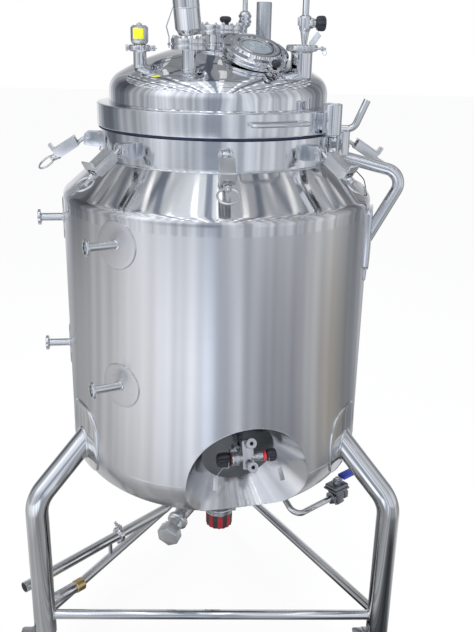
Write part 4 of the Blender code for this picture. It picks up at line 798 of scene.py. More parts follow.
for number, (azimuth, roll) in enumerate(zip(CLAMP_AZ, (0, 0, 18, 0, 0, 0, -20, 0))):
    name = "swing_clamp_%d" % (number + 1)
    hub = radial(azimuth, PIN_R, PIN_Z) @ turn("Y", REST_LEAN)
    forms, ring = clamp_forms(hub, roll)
    piece(name + "_skin", forms + [ring], PLATED, (name,), name, sharp=35.0)
print("clamps:", len(CLAMP_AZ), "of", made["swing_clamp_1_skin"], "faces")


# %% [markdown]
# ## The hatch
# The hatch leans down the dome. A turned cover with a bevelled rim and a groove
# holds the sight glass. Its lug sits between two lugs of the neck, and one bolt
# with a black knob closes it.

# %% Hatch
def dome_foot(x, y):
    """Height of the dome above the floor at a point, less a little to sink a tube's foot."""
    return Z + float(dome_height(math.hypot(x, y))) - 0.006


lug = mm((94, 6), (125, 6), (125, 15.5), (94, 15.5))
piece("hatch_neck_skin",
    [lathe([(0.071, 0.0157), (HATCH_R, 0.0157), (HATCH_R, 0.0042), (0.0795, 0.0035),
    (0.0795, -0.02), (0.0815, -0.046), (0.071, -0.046), (0.071, 0.0157)], HATCH, 96, 0.0018),
    slab(lug, 0.009, 0.016, HATCH @ turn("X", 90.0)),
    slab(lug, -0.016, -0.009, HATCH @ turn("X", 90.0))], MIRROR, ("hatch_neck",),
    sharp=40.0)
cover = [lathe([(0.045, 0.0325), (0.045, 0.0362), (0.054, 0.035), (0.059, 0.0376), (0.074, 0.0382),
    (0.0795, 0.0312), (HATCH_R - 0.002, 0.0296), (HATCH_R, 0.0275), (HATCH_R, 0.0165),
    (0.0562, 0.0165), (0.0562, 0.0325), (0.045, 0.0325)], HATCH, 96, 0.001),
    slab(mm((90, 17.5), (128, 17.5), (128, 27), (112, 30), (90, 30)), -0.0115, 0.0115,
    HATCH @ turn("X", 90.0), 0.0014, 0.002)]
piece("hatch_cover_skin", cover, MIRROR, ("hatch_cover",), sharp=38.0)
piece("hatch_pane", [rod(0.0558, 0.019, 0.0322, HATCH, 72)], GLASS, ("hatch_glass",))
knob_profile = mm((0, 20.5), (8, 20.5), (12.5, 18), (14, 12.5), (12.5, 7), (8, 3), (7, 0.3),
    (0, 0.3))


def black_knob(name, form):
    piece(name + "_skin", [form], BLACK, (name,))


black_knob("hatch_knob", lathe(knob_profile, HATCH @ at(0.118, 0.0, 0.03), 40, 0.002))


# %% [markdown]
# ## Pipe clamps, nuts and knobs
# The same small things come back on many nozzles, so each is a function that gives
# its grids in a frame: a hinged clamp with its bolt and wing nut, a cap nut, a
# ring of them, a lobed hand knob, a blank tag and the wire that it hangs on.

# %% Small fittings as functions
def ferrule(m, low, radius, tail=0.006, hand=-1.0):
    """A two-part clamp band: a V-shaped ring, a hinge, a lug, its bolt and a wing nut."""
    high = low + 0.019
    mid = (low + high) / 2.0
    inner, flat = radius - 0.014, radius - 0.004
    ring = [(inner, high), (flat, high), (radius, high - 0.004), (radius, low + 0.004), (flat, low),
        (inner, low), (inner, high)]
    nut = m @ at(radius + 0.0075, 0.0, mid)
    bolt = nut @ turn("X", -90.0 * hand)
    end = 0.024 + tail
    shank = [(0.0, end), (0.0026, end), (0.0032, end - 0.001), (0.0032, -0.0118), (0.0, -0.0118)]
    boss = [(0.0, end - 0.007), (0.0058, end - 0.008), (0.007, end - 0.015), (0.0, end - 0.015)]
    forms = [lathe(ring, m, 56, 0.0015), turned(shank, bolt, 18), lathe(boss, bolt, 24),
        rod(0.0034, -0.009, 0.009, m @ at(-radius - 0.005, 0.0, mid), 20),
        box((-radius - 0.0075, -0.006, mid - 0.0076), (-flat, 0.006, mid + 0.0076), m, 0.002)]
    for y in (-0.0085, 0.002):
        lug_low, lug_high = (flat, y, mid - 0.0078), (radius + 0.013, y + 0.0065, mid + 0.0078)
        forms.append(box(lug_low, lug_high, m, 0.002))
    for side in (-1.0, 1.0):
        wing = [(side * 0.004, -0.0022), (side * 0.0118, 0.001), (side * 0.0122, 0.0062),
            (side * 0.0055, 0.004)]
        if side < 0.0:
            wing = wing[::-1]
        forms.append(slab(wing, -0.002, 0.002, bolt @ at(0.0, 0.0, end - 0.0115) @ turn("X", 90.0),
            0.0008, 0.001))
    return forms


def cap_nut(m, size):
    """A hexagon with a dome on it."""
    a = np.linspace(90.0, 0.0, 7)
    dome = [(0.82 * size * math.cos(math.radians(k)),
        0.7 * size + 0.8 * size * math.sin(math.radians(k))) for k in a]
    return [hexagon(size, 0.0, 0.75 * size, m), turned(dome + [(0.0, 0.6 * size)], m, 18)]


def nut_ring(m, radius, height, size, first):
    """Eight cap nuts round the axis of a frame, the first one at the angle first."""
    forms = []
    for k in range(8):
        forms += cap_nut(m @ turn("Z", 45.0 * k + first) @ at(radius, 0.0, height), size)
    return forms


def tag(half_width, half_height, half_thick, m):
    """A blank plate with rounded corners."""
    w, h, t = half_width, half_height, half_thick
    return slab([(-w, -h), (w, -h), (w, h), (-w, h)], -t, t, m, t - 0.0002, 0.003)


def lobed(m, radius, length):
    """A hand knob: r = R (0.92 + 0.08 cos 8a), drawn in at both ends."""
    a = full_turn(96)[:, None]
    heights = np.array([1.0, 1.0, 0.985, 0.94, 0.84, 0.7, 0.45, 0.24, 0.1, 0.02, 0.0, 0.0])
    widths = np.array([0.0, 0.46, 0.64, 0.82, 0.95, 1.0, 1.0, 0.97, 0.88, 0.74, 0.62, 0.0])
    z, r = length * heights[None, :], radius * widths[None, :] * (0.92 + 0.08 * np.cos(8 * a))
    return grid(np.stack([r * np.cos(a), r * np.sin(a), z + 0.0 * r], -1), True, m)


def wire(points, radius=0.0007, bend=0.004):
    return swept(eased(points, bend, 5), radius, 8)


# %% [markdown]
# ## Fittings on the lid
# From left to right: the breather, the sight light with its lamp, the middle port,
# the vent valve, the plain pipe, and the nozzle of the spray ball with its valve.

# %% Breather
BREATHER = at(-0.234, -0.14, Z)
foot = dome_foot(-0.234, -0.14) - Z
piece("breather_neck",
    [lathe([(0.0, 0.236), (0.0252, 0.236), (0.0252, 0.2312), (0.0195, 0.2245), (0.0195, foot),
    (0.0, foot)], BREATHER, 48), bead(circle(0.02, BREATHER @ at(0, 0, foot + 0.006)), 0.0016)]
    + ferrule(BREATHER, 0.2265, 0.033), MIRROR, ("breather_nozzle",), sharp=40.0)
bell = mm((0, 304), (7.5, 304), (8, 299.2), (19.5, 299), (26.2, 292.5), (26.2, 256), (22.8, 248),
    (17.2, 246.5), (17.2, 236.3), (0, 236.3))
piece("breather_bell", [lathe(bell, BREATHER, 56)] + cap_nut(BREATHER @ at(0, 0, 0.299), 0.0052),
    PLATED, ("breather_cap",))
a = np.radians(np.linspace(-128.0, -58.0, 14))[:, None]
h = np.linspace(0.29, 0.262, 5)[None, :]
label = np.stack([0.0266 * np.cos(a) + 0.0 * h, 0.0266 * np.sin(a) + 0.0 * h, h + 0.0 * a], -1)
inner_label = label * [0.985, 0.985, 1.0]
sticker = np.concatenate([label, inner_label[:, ::-1]], 1)
sticker = np.concatenate([sticker, sticker[:, :1]], 1)
piece("breather_label", [grid(sticker, False, BREATHER)], YELLOW)

# %% Sight light
LIGHT = at(-0.085, -0.268, Z)
foot = dome_foot(-0.085, -0.268) - Z
light_forms = [lathe([(0.0, 0.266), (0.05, 0.266), (0.05, 0.253), (0.0472, 0.2528),
    (0.0472, 0.2492), (0.05, 0.249), (0.05, 0.2362), (0.02, 0.2358), (0.02, foot), (0.0, foot)],
    LIGHT, 72, 0.0012), bead(circle(0.0206, LIGHT @ at(0, 0, foot + 0.008)), 0.0018)]
light_forms += nut_ring(LIGHT, 0.0425, 0.2655, 0.0058, 12.0)
piece("light_neck", light_forms, MIRROR, ("light_nozzle",), sharp=38.0)
LAMP_FOOT = LIGHT @ at(0, 0, 0.276)
LAMP = LAMP_FOOT @ turn("Y", -5.0) @ turn("X", 9.0)
lamp = mm((0, 139.2), (30, 139.6), (36.8, 132.5), (37, 76), (37.6, 75.2), (37.6, 72.8), (37, 72),
    (37, 18), (33.5, 12), (28.2, 0.5), (0, 0))
side = LAMP_FOOT @ turn("X", 90.0)
strap = mm((-56, -36), (-53, -36), (-53, -6), (-60, 20), (-36, 85), (-34.5, 125), (-37.5, 125),
    (-38.5, 86), (-63.5, 20), (-56, -8))
piece("lamp_skin", [lathe(lamp, LAMP, 72, 0.003), slab(strap, -0.01, 0.01, side, 0.0004),
    rod(0.0041, -0.0145, 0.0145, side @ at(-0.0545, -0.026), 20, 0.0),
    box((-0.054, -0.006, -0.03), (-0.0505, 0.006, -0.022), LAMP_FOOT),
    rod(0.0044, -0.011, 0.011, side @ at(-0.037, 0.124), 20)], MIRROR,
    ("sight_lamp",), sharp=38.0)

# %% Middle port, vent valve and vent pipe
MIDDLE = at(0.0, 0.0, Z)
foot = float(dome_height(0.057)) - 0.004
port_forms = [lathe([(0.0, 0.306), (0.0755, 0.306), (0.077, 0.3045), (0.077, 0.2926),
    (0.0742, 0.2912), (0.0742, 0.29), (0.077, 0.2886), (0.077, 0.277), (0.057, 0.2762),
    (0.057, foot), (0.0, foot)], MIDDLE, 96, 0.0012),
    bead(circle(0.0578, MIDDLE @ at(0, 0, foot + 0.004)), 0.0022)]
port_forms += nut_ring(MIDDLE, 0.0665, 0.3055, 0.0056, 10.0)
piece("port_skin", port_forms, MIRROR, ("middle_port",), sharp=38.0)
port_knob = mm((0, 331.5), (10, 331.5), (16.5, 328.5), (18.2, 322.5), (16, 316.5), (11, 312.5),
    (10.5, 306.3), (0, 306.3))
black_knob("port_knob", lathe(port_knob, at(0.018, -0.012, Z), 44, 0.002))
VENT = at(0.08, 0.06, Z)
vent = [(0.0, 0.43), (0.012, 0.43), (0.0245, 0.4268), (0.0252, 0.4235), (0.0225, 0.4205),
    (0.0085, 0.413), (0.008, 0.3505), (0.015, 0.3455), (0.018, 0.34), (0.018, 0.308),
    (0.015, 0.303), (0.008, 0.298), (0.008, dome_foot(0.08, 0.06) - Z),
    (0.0, dome_foot(0.08, 0.06) - Z)]
vent_forms = [lathe(vent, VENT, 48, 0.0015), hexagon(0.0205, 0.314, 0.3215, VENT),
    hexagon(0.0205, 0.33, 0.3375, VENT)]
piece("vent_skin", vent_forms, MIRROR, ("vent_valve",), sharp=38.0)
PIPE = at(0.138, 0.03, Z)
foot = dome_foot(0.138, 0.03) - Z
piece("vent_pipe_skin",
    [lathe([(0.0207, 0.3755), (0.0222, 0.376), (0.024, 0.3745), (0.024, foot), (0.0207, foot),
    (0.0207, 0.3755)], PIPE, 56, 0.0008)], GREY_PIPE, ("vent_pipe",))

# %% Spray nozzle and its valve
SPRAY = at(0.243, -0.155, Z)
foot = dome_foot(0.243, -0.155) - Z - 0.01
spray_forms = [lathe([(0.0, 0.246), (0.039, 0.246), (0.039, 0.2402), (0.0318, 0.2318),
    (0.0318, foot), (0.0, foot)], SPRAY, 64)] + ferrule(SPRAY @ turn("Z", -90.0), 0.236, 0.047,
    0.04, 1.0)
pin_at = SPRAY @ at(0.06, -0.0545, 0.2455)
spray_forms.append(swept(circle(0.0062, pin_at @ at(0, 0, -0.011) @ turn("X", 90.0), 30), 0.0009, 8,
    closed=True))
piece("spray_neck", spray_forms, MIRROR, ("spray_nozzle",), sharp=40.0)
VALVE_UP = SPRAY @ at(0.006, 0.0, 0.2463)
stem = mm((0, 170), (9.8, 170), (9.8, 90.5), (16.5, 86.5), (17.8, 82), (17.8, 54), (16.5, 50),
    (13, 44), (7.8, 8.5), (23.5, 4.2), (25.2, 2.5), (25.2, 0), (0, 0))
SIDEWAYS = VALVE_UP @ at(0, 0, 0.068) @ turn("Y", 90.0)
piece("spray_valve_skin",
    [lathe(stem, VALVE_UP, 48, 0.0015),
    lathe(mm((0, 30.8), (12.8, 30.8), (12.8, 23.5), (15.2, 22.5), (15.2, 12), (14, 0), (0, 0)),
    SIDEWAYS, 40), box((-0.0225, -0.012, 0.06), (-0.012, 0.012, 0.084), VALVE_UP, 0.002)], MIRROR,
    ("spray_valve",), sharp=38.0)
black_knob("spray_knob", lobed(SIDEWAYS @ at(0, 0, 0.0313), 0.0215, 0.03))
tag_at = VALVE_UP @ at(0.028, -0.025, 0.0242) @ turn("Y", 36.0) @ turn("X", 84.0)
piece("spray_tag",
    [tag(0.009, 0.02, 0.0006, tag_at),
    wire([(0.264, -0.17, Z + 0.308), (0.28, -0.178, Z + 0.3), (0.288, -0.179, Z + 0.286)])], PAPER)
print("lid fittings:", made["light_neck"], made["port_skin"], made["spray_neck"], "faces")

# %% [markdown]
# ## Handle and davit on the lid's rim
# A round bar bent twice is the lid's handle. Beside it a barrel is let into the
# rim, and a cranked arm stands in a socket on the body below.

# %% Lid handle, davit barrel and davit socket
bar = [polar(az, r, Z + 0.045) for az, r in ((-77.0, 0.376), (-76.5, 0.413), (-70.0, 0.413),
    (-63.5, 0.413), (-57.0, 0.413), (-50.5, 0.413), (-50.0, 0.376))]
piece("lid_bar", [swept(eased(bar, 0.012, 6), 0.0062, 24)], MIRROR,
    ("lid_handle",))
BARREL_AZ, SOCKET_AZ = -36.5, -24.5
BARREL = at(*polar(BARREL_AZ, LID_R + 0.029, Z))
web = BARREL @ turn("Z", BARREL_AZ)
piece("barrel_skin",
    [lathe(mm((0, 80), (18.5, 80), (22.5, 84), (23.5, 95.8), (26.2, 96), (28.5, 93.5), (28.5, 9.5),
    (27, 8), (0, 8)), BARREL, 64, 0.0012), box((-0.03, -0.0195, 0.02), (-0.012, 0.0195, 0.07), web,
    0.003)], BAND, ("davit_barrel",), sharp=40.0)
spot = polar(SOCKET_AZ, 0.415, Z)
SOCKET = at(*spot)
crank = [spot + [-0.012, 0.0, 0.018], spot + [0.031, 0.0, 0.018], spot + [0.066, 0.0, 0.103]]
piece("socket_skin",
    [lathe(mm((0, 12), (19, 12), (20.5, 10.5), (20.5, -58.5), (19, -60), (0, -60)), SOCKET, 48),
    box((-0.041, -0.0098, -0.0545), (-0.012, 0.0098, -0.0085), SOCKET @ turn("Z", SOCKET_AZ),
    0.002), swept(eased(crank, 0.03, 12), 0.011, 32)], TUBE, ("davit_socket",),
    sharp=40.0)

# %% [markdown]
# ## Jacket nozzles
# Each nozzle is a short tube with a clamp ferrule, welded to a round pad. The pad
# is bent onto the wall, and the tube's foot swells into its weld. A thin liner
# with a dark finish paints the shade inside the bore.

# %% Jacket nozzles
def bar_between(a, b, radius, sides=28):
    return swept(np.linspace(a, b, 3), radius, sides)


FRONT, SIDE = ("front", -125.0, -154.0, 0.092), ("side", -174.0, -174.0, 0.084)
UPPER, LOWER = ("upper", -0.292), ("lower", -0.73)
bore = 0.0107
for (row, height), (end, azimuth, aim, length) in ((UPPER, FRONT), (LOWER, FRONT), (UPPER, SIDE),
        (LOWER, SIDE)):
    name = "nozzle_%s_%s" % (row, end)
    m = along(polar(azimuth, SHELL_R, Z + height), polar(aim, 1.0, 0.0))
    tube_forms = [lathe([(0.0, 0.012), (bore, 0.012), (bore, length - 0.01),
        (0.0172, length - 0.003), (0.0172, length), (0.024, length), (0.02525, length - 0.0012),
        (0.02525, length - 0.008), (0.024, length - 0.0092), (0.0127, length - 0.0125),
        (0.0127, -0.02), (0.0, -0.02)], m, 48, 0.0008),
        bead(circle(0.02, m @ at(0, 0, length - 0.0003)), 0.0008)]
    # The liner's dark finish is painted shade inside the bore.
    shade_liner = lathe([(0.017, length - 0.0004), (0.017, length - 0.003),
        (bore - 0.0002, length - 0.0102), (bore - 0.0002, 0.013), (bore - 0.0008, 0.013),
        (bore - 0.0008, length - 0.0105), (0.0163, length - 0.0034), (0.0163, length - 0.0004),
        (0.017, length - 0.0004)], m, 40, 0.0)
    foot_line = circle(0.0136, m)
    sheet_r = SHELL_R + 0.004
    flat = foot_line[:, :2]
    d = polar(aim, 1.0, 0.0)[:2]
    b = flat @ d
    t = -b + np.sqrt(np.maximum(b * b - (flat * flat).sum(1) + sheet_r ** 2, 0.0))
    foot_line[:, :2] += t[:, None] * d
    tube_forms.append(bead(foot_line, 0.0024, 8))
    piece(name + "_skin", tube_forms, HANDLE, (name,), sharp=40.0)
    piece(name + "_bore", [shade_liner], DULL_CAST_AND_SHADE, sharp=40.0)
    piece(name + "_pad", [pad(azimuth, Z + height, oval(0.07, 0.07), 0.0034)], SATIN,
        sharp=40.0)
    piece(name + "_weld",
        [bead(on_jacket(azimuth, Z + height, oval(0.0705, 0.0705), 0.0006), 0.0013)], BAND)

# %% [markdown]
# ## Push handle
# A thick tube runs from the flange out and back down to a plate on the wall. Its
# bend is an arc, so the tube keeps its width. A thin cable hangs beside it.

# %% Push handle
HANDLE_AZ = -12.0
path = [polar(HANDLE_AZ, r, Z + h) for r, h in ((0.372, -0.071), (0.604, -0.123), (0.49, -0.35))]
handle_forms = [swept(eased(path, 0.046, 12), 0.019, 36)]
plate_line = np.array(mm((-50, -98.5), (50, -98.5), (60, -86.5), (60, 86.5), (50, 98.5),
    (-50, 98.5), (-60, 86.5), (-60, -86.5)))
plate_line = eased(plate_line, 0.006, 4, True)
handle_forms.append(pad(HANDLE_AZ, Z - 0.3315, plate_line, 0.013))
toe_line = eased(np.array(mm((-48, -20), (48, -20), (50, 20), (-50, 20))), 0.004, 4, True)
handle_forms.append(pad(HANDLE_AZ, Z - 0.447, toe_line, 0.0055))
piece("push_handle_skin", handle_forms, HANDLE, ("push_handle",), sharp=40.0)
cable = [polar(-20.0, 0.418, Z - 0.105), polar(-18.0, 0.452, Z - 0.112),
    polar(-16.5, 0.478, Z - 0.14), polar(-16.0, 0.49, Z - 0.19), polar(-15.0, 0.487, Z - 0.205)]
piece("guard_wire", [wire(cable, 0.0016, 0.03)], BLACK)


# %% [markdown]
# ## Legs, rails and castors
# A leg is one tube with one wide bend. It is welded to a rounded pad on the jacket,
# and the three rails meet the legs near the floor.

# %% Legs and rails
LEG_AZ = {"left": -150.0, "right": -30.0, "rear": 90.0}
LEG_TOP_R, RAIL_R = 0.47, 0.0168
PAD, KNEE, RAIL, LEG_FOOT = Z - 0.985, Z - 1.18, Z - 1.64, Z - 1.7
for place, azimuth in LEG_AZ.items():
    name = "leg_" + place
    path = [polar(azimuth, LEG_TOP_R, KNEE + LEG_R - LEG_TOP_R), polar(azimuth, LEG_R, KNEE),
        polar(azimuth, LEG_R, LEG_FOOT)]
    bent = eased(path, 0.115, 16)
    bent = np.concatenate([bent[:1], bent[1:-1], np.linspace(bent[-2], bent[-1], 8)[1:]])
    run_dir = (path[1] - path[0]) / np.linalg.norm(path[1] - path[0])
    joint = circle(LEG_TUBE_R + 0.0015, along(path[0], run_dir), 96)
    way = halved(lambda t: outside(joint + t[:, None] * run_dir) > 0.0062, np.full(96, -0.15),
        np.full(96, 0.2), 30)
    forms = [swept(bent, LEG_TUBE_R, 56), bead(joint + way[:, None] * run_dir, 0.0042, 10),
        pad(azimuth, PAD, oval(0.1, 0.118, 3.0, 96), 0.0058)]
    piece(name + "_skin", forms, TUBE, (name,), sharp=40.0)
    piece(name + "_weld",
        [bead(on_jacket(azimuth, PAD, oval(0.1005, 0.1185, 3.0, 110), 0.0008), 0.0015)], BAND)
corners = {place: polar(azimuth, LEG_R, RAIL) for place, azimuth in LEG_AZ.items()}
for name, first, second in (("rail_front", "left", "right"), ("rail_left", "left", "rear"),
        ("rail_right", "right", "rear")):
    a, b = corners[first], corners[second]
    d = (b - a) / np.linalg.norm(b - a)
    forms = [bar_between(a + d * 0.03, b - d * 0.03, RAIL_R)]
    for corner, s in ((a, 1.0), (b, -1.0)):
        loop = circle(RAIL_R + 0.0007, along(corner, d * s), 48)
        off = (loop - corner) @ np.cross(d * s, [0.0, 0.0, 1.0])
        loop += (d * s) * (np.sqrt(LEG_TUBE_R ** 2 - off ** 2))[:, None]
        forms.append(bead(loop, 0.0026, 8))
    piece(name + "_skin", forms, TUBE, (name,), sharp=40.0)
print("legs:", made["leg_left_skin"], "faces each")

# %% Castors
CASTOR_TOP = LEG_FOOT - 0.0003
for place, azimuth in LEG_AZ.items():
    name = "castor_" + place
    m = at(*polar(azimuth, LEG_R, 0.0))
    side = m @ turn("X", 90.0)
    hub = m @ at(-0.032, 0.0, 0.0625) @ turn("X", 90.0)
    cheek = [(-0.049, 0.05), (-0.016, 0.05), (0.027, CASTOR_TOP - 0.021),
        (0.027, CASTOR_TOP - 0.014), (-0.049, CASTOR_TOP - 0.014)]
    lever = mm((-85, -16), (-78, -21), (-30, -21), (-30, 21), (-78, 21), (-85, 16))
    tread = mm((0, 10), (40, 10), (45, 15.5), (56, 16), (62.5, 12), (62.5, -12), (56, -16),
        (45, -15.5), (40, -10), (0, -10))
    forms = [rod(0.0375, CASTOR_TOP - 0.012, CASTOR_TOP, m, 40),
        box((-0.052, -0.026, CASTOR_TOP - 0.022), (0.03, 0.026, CASTOR_TOP - 0.0105), m, 0.004),
        slab(cheek, 0.02, 0.0248, side, 0.001, 0.004),
        slab(cheek, -0.0248, -0.02, side, 0.001, 0.004),
        slab(lever, CASTOR_TOP - 0.0165, CASTOR_TOP - 0.0115, m, 0.001, 0.005),
        rod(0.008, -0.029, 0.029, hub)]
    piece(name + "_fork", forms, CAST, (name,), sharp=38.0)
    piece(name + "_tread", [lathe(tread, hub, 64, 0.003)], WHEEL)

# %% [markdown]
# ## Outlet valve in the funnel
# A block with two open ports stands on a stem in the funnel. A black knob turns
# each of its two spindles, and a coloured collar shows which is which.

# %% Outlet valve
OUTLET_AZ = -77.0
ahead = heading(OUTLET_AZ, 20.0)
BLOCK = along(np.array([0.104, -0.415, Z - 0.9695]), ahead, heading(OUTLET_AZ + 90.0, 0.0))
seat = FUNNEL[:3, 3]
stem_to = BLOCK[:3, 3] - seat
LEFT, RIGHT = BLOCK @ turn("Y", -90.0), BLOCK @ turn("Y", 90.0)
bar_line = mm((-18, -37), (19, -37), (19, 56), (-18, 56))
valve_forms = [rod(0.03, 0.0003, 0.01, FUNNEL, 48),
    bar_between(seat + stem_to * 0.02, BLOCK[:3, 3] - ahead * 0.004, 0.0165),
    slab(bar_line, -0.017, 0.013, BLOCK, 0.003, 0.007),
    lathe(mm((0, 54), (15, 54), (20, 52.5), (21.5, 50), (21.5, 44), (19, 43), (19, 40), (21.5, 39),
    (21.5, 29), (18, 27), (0, 27)), LEFT, 48), rod(0.013, 0.006, 0.03, LEFT, 32),
    lathe(mm((0, 50), (13.5, 50), (15.5, 48), (15.5, 28), (13.5, 26), (13.5, 22), (15.5, 20),
    (15.5, 9), (0, 9)), RIGHT, 44)]
PORTS = [BLOCK @ at(0.008, rise, 0.0) for rise in (-0.027, 0.047)]
for m in PORTS:
    valve_forms += [lathe(mm((0, 8), (6, 8), (6, 35), (16, 35), (17.2, 33.8), (17.2, 31.2),
        (10, 24), (10, 0), (0, 0)), m, 44, 0.0007),
        bead(circle(0.0112, m @ at(0, 0, 0.0348)), 0.0007)]
piece("outlet_valve_skin", valve_forms, CAST, ("outlet_valve",), sharp=38.0)
collar = mm((0, 59.5), (15, 59.5), (15.8, 58.5), (15.8, 51), (15, 50.2), (0, 50.2))
piece("outlet_collars", [lathe(collar, RIGHT, 44)], RED)
piece("outlet_rim",
    [lathe(mm((16.5, 54.2), (22.2, 54.2), (22.4, 56.2), (16.5, 56.4), (16.5, 54.2)), LEFT, 44)],
    DARK_RED)
# Black discs inside the open ports are painted shade in them.
piece("outlet_port_shade", [rod(0.0058, 0.02, 0.0215, port) for port in PORTS], BLACK)
black_knob("outlet_knob_left", lobed(LEFT @ at(0, 0, 0.0545), 0.0232, 0.0448))
black_knob("outlet_knob_right", lobed(RIGHT @ at(0, 0, 0.0602), 0.021, 0.0338))
tags = []
for hub, drop, lean_deg, tip_deg in ((LEFT @ at(0, 0, 0.06), (-0.04, 0.0, -0.056), 14.0, 52.0),
        (RIGHT @ at(0, 0, 0.07), (0.04, 0.0, -0.038), -14.0, 84.0)):
    p = hub[:3, 3]
    q = p + np.array(drop) + [0.0, -0.016, 0.0]
    tags.append(wire([p + [0.0, -0.024, 0.004], p + [0.0, -0.026, -0.02],
        (p + q) / 2 + [0.004, -0.012, 0.012], q], 0.0007, 0.02))
    facing = turn("Z", OUTLET_AZ + 90.0) @ turn("Y", lean_deg) @ turn("X", tip_deg)
    tags.append(tag(0.0075, 0.023, 0.0005, at(*(q + [0.0, -0.001, -0.02])) @ facing))
piece("outlet_tags", tags, PLATED)

# %% [markdown]
# ## Under the tank
# The bottom valve with its grip, the branch of the sensor with a hexagon cap, the
# drain pipe with its union, and a small pipe with a ball valve. The grip has ribs,
# and its two colours follow the angle round its axis.

# %% Bottom valve and grip
def bottom_height(radius):
    return Z + float(np.interp(radius, outer_line[::-1, 0], outer_line[::-1, 1]))


x, y = 0.019, -0.27
z = bottom_height(math.hypot(x, y))
UNDER = at(x, y, 0.0)
piece("bottom_valve_skin",
    [lathe([(0.0, z + 0.012), (0.026, z + 0.012), (0.026, z - 0.016), (0.044, z - 0.02),
    (0.0455, z - 0.024), (0.0455, z - 0.029), (0.0425, z - 0.03), (0.0425, z - 0.0325),
    (0.0455, z - 0.0335), (0.0455, z - 0.04), (0.0, z - 0.04)], UNDER, 48),
    box((-0.061, -0.01, z - 0.038), (-0.042, 0.01, z - 0.02), UNDER, 0.003),
    box((0.042, -0.01, z - 0.038), (0.057, 0.01, z - 0.022), UNDER, 0.003)], CAST,
    ("bottom_valve",), sharp=38.0)
RIBS, STRIPES = 16.0, 8.0
a = full_turn(240)[:, None]
hh = z - np.array([[0.0403, 0.0403, 0.043, 0.063, 0.087, 0.09, 0.09]])
rib = 0.975 + 0.025 * np.tanh(4.0 * np.cos(RIBS * a))
rr = np.array([[0.0, 0.043, 0.045, 0.045, 0.0445, 0.0415, 0.0]]) * rib
grip_mat, tree, shader = empty_material("striped_grip")
grip_axis = (-(x + AXIS[0]), -(y + AXIS[1]), 0.0)
grip_xyz = split_xyz(tree, own_point(tree, shift=grip_axis))
turned_by = math_node(tree, "ARCTAN2", grip_xyz["Y"], grip_xyz["X"])
phase = math_node(tree, "ADD", math_node(tree, "MULTIPLY", turned_by, STRIPES), 0.9)
stripe = spread(tree, math_node(tree, "SINE", phase, 0.0), 0.0, 1.0, -0.5, 0.5)
tones = [(0.35, (0.04, 0.028, 0.03)), (0.65, (0.34, 0.01, 0.024))]
fill(tree, shader,
    {"Base Color": ramp(tree, stripe, tones), "Roughness": spread(tree, noise(tree, (90.0,) * 3),
    0.28, 0.44)})
piece("bottom_grip_skin",
    [grid(np.stack([rr * np.cos(a), rr * np.sin(a), hh + 0.0 * a], -1), True, UNDER)], grip_mat,
    ("bottom_grip",), sharp=42.0)

# %% Sensor branch
root = np.array([-0.0832, -0.3098, bottom_height(math.hypot(0.0832, 0.3098))])
aim = np.array([-0.392, -0.891, -0.23])
aim /= np.linalg.norm(aim)
BRANCH = along(root, aim)
branch = mm((0, 129), (24, 129), (24, 98.5), (30, 96.2), (31, 93), (31, 88.5), (28.5, 87.5),
    (28.5, 86.2), (31, 85.2), (31, 80), (30, 77.8), (24.2, 75.5), (23.2, 64), (33, 0), (38, -100),
    (0, -100))
piece("branch_skin", [lathe(branch, BRANCH, 48, 0.0012), hexagon(0.0374, 0.128, 0.1638, BRANCH)]
    + ferrule(BRANCH @ turn("Z", 150.0), 0.077, 0.0335), PLATED,
    ("sensor_branch",), sharp=36.0)

# %% Drain pipe, stub and side valve
level = Z - 1.563
flow = np.array([0.683, 0.731, 0.0])
flow /= np.linalg.norm(flow)
crossing = np.array([-0.397, -0.012, level])
outer_end, turn_at = crossing - flow * 0.385, crossing + flow * 0.33
up_to = np.array([turn_at[0], turn_at[1], bottom_height(math.hypot(turn_at[0], turn_at[1]))
    + 0.006])
wall = swept(eased([outer_end + flow * 0.0005, turn_at, up_to], 0.055, 10), 0.019, 36)
mouth = along(outer_end, flow)
UNION = along(crossing + flow * 0.045, flow, (0.2, 0.1, 1.0))
drain_forms = [wall,
    lathe(mm((18.6, -0.2), (19, 2), (19, 30), (16.5, 30), (16.5, -0.2), (18.6, -0.2)), mouth, 40,
    0.0004)]
drain_forms += ferrule(UNION @ at(0, 0, -0.0095), 0.0, 0.031)
drain_forms.append(bar_between(crossing * [1, 1, 0] + [0, 0, RAIL + 0.012], crossing, 0.008, 20))
piece("drain_skin", drain_forms, TUBE, ("drain_pipe",), sharp=40.0)
# A black disc in the pipe's mouth is painted shade: the pipe is solid behind it.
piece("drain_mouth_shade", [turned(mm((0, 1), (16.3, 0.8), (16.3, -0.4), (0, -0.4)), mouth, 32)],
    MOUTH_SHADE)
stub_at = polar(LEG_AZ["left"], LEG_R, RAIL + RAIL_R + 0.023)
STUB = along(stub_at, (0.7, 0.714, 0.0))
piece("stub_skin", [rod(0.0205, 0.03, 0.13, STUB, 44)], TUBE, ("drain_stub",))
piece("stub_collar",
    [lathe(mm((15, 164), (21.2, 164), (22.5, 162), (22.5, 132), (20.5, 129.8), (0, 129.8), (0, 159),
    (15, 159), (15, 164)), STUB, 44, 0.0008)], BRASS)

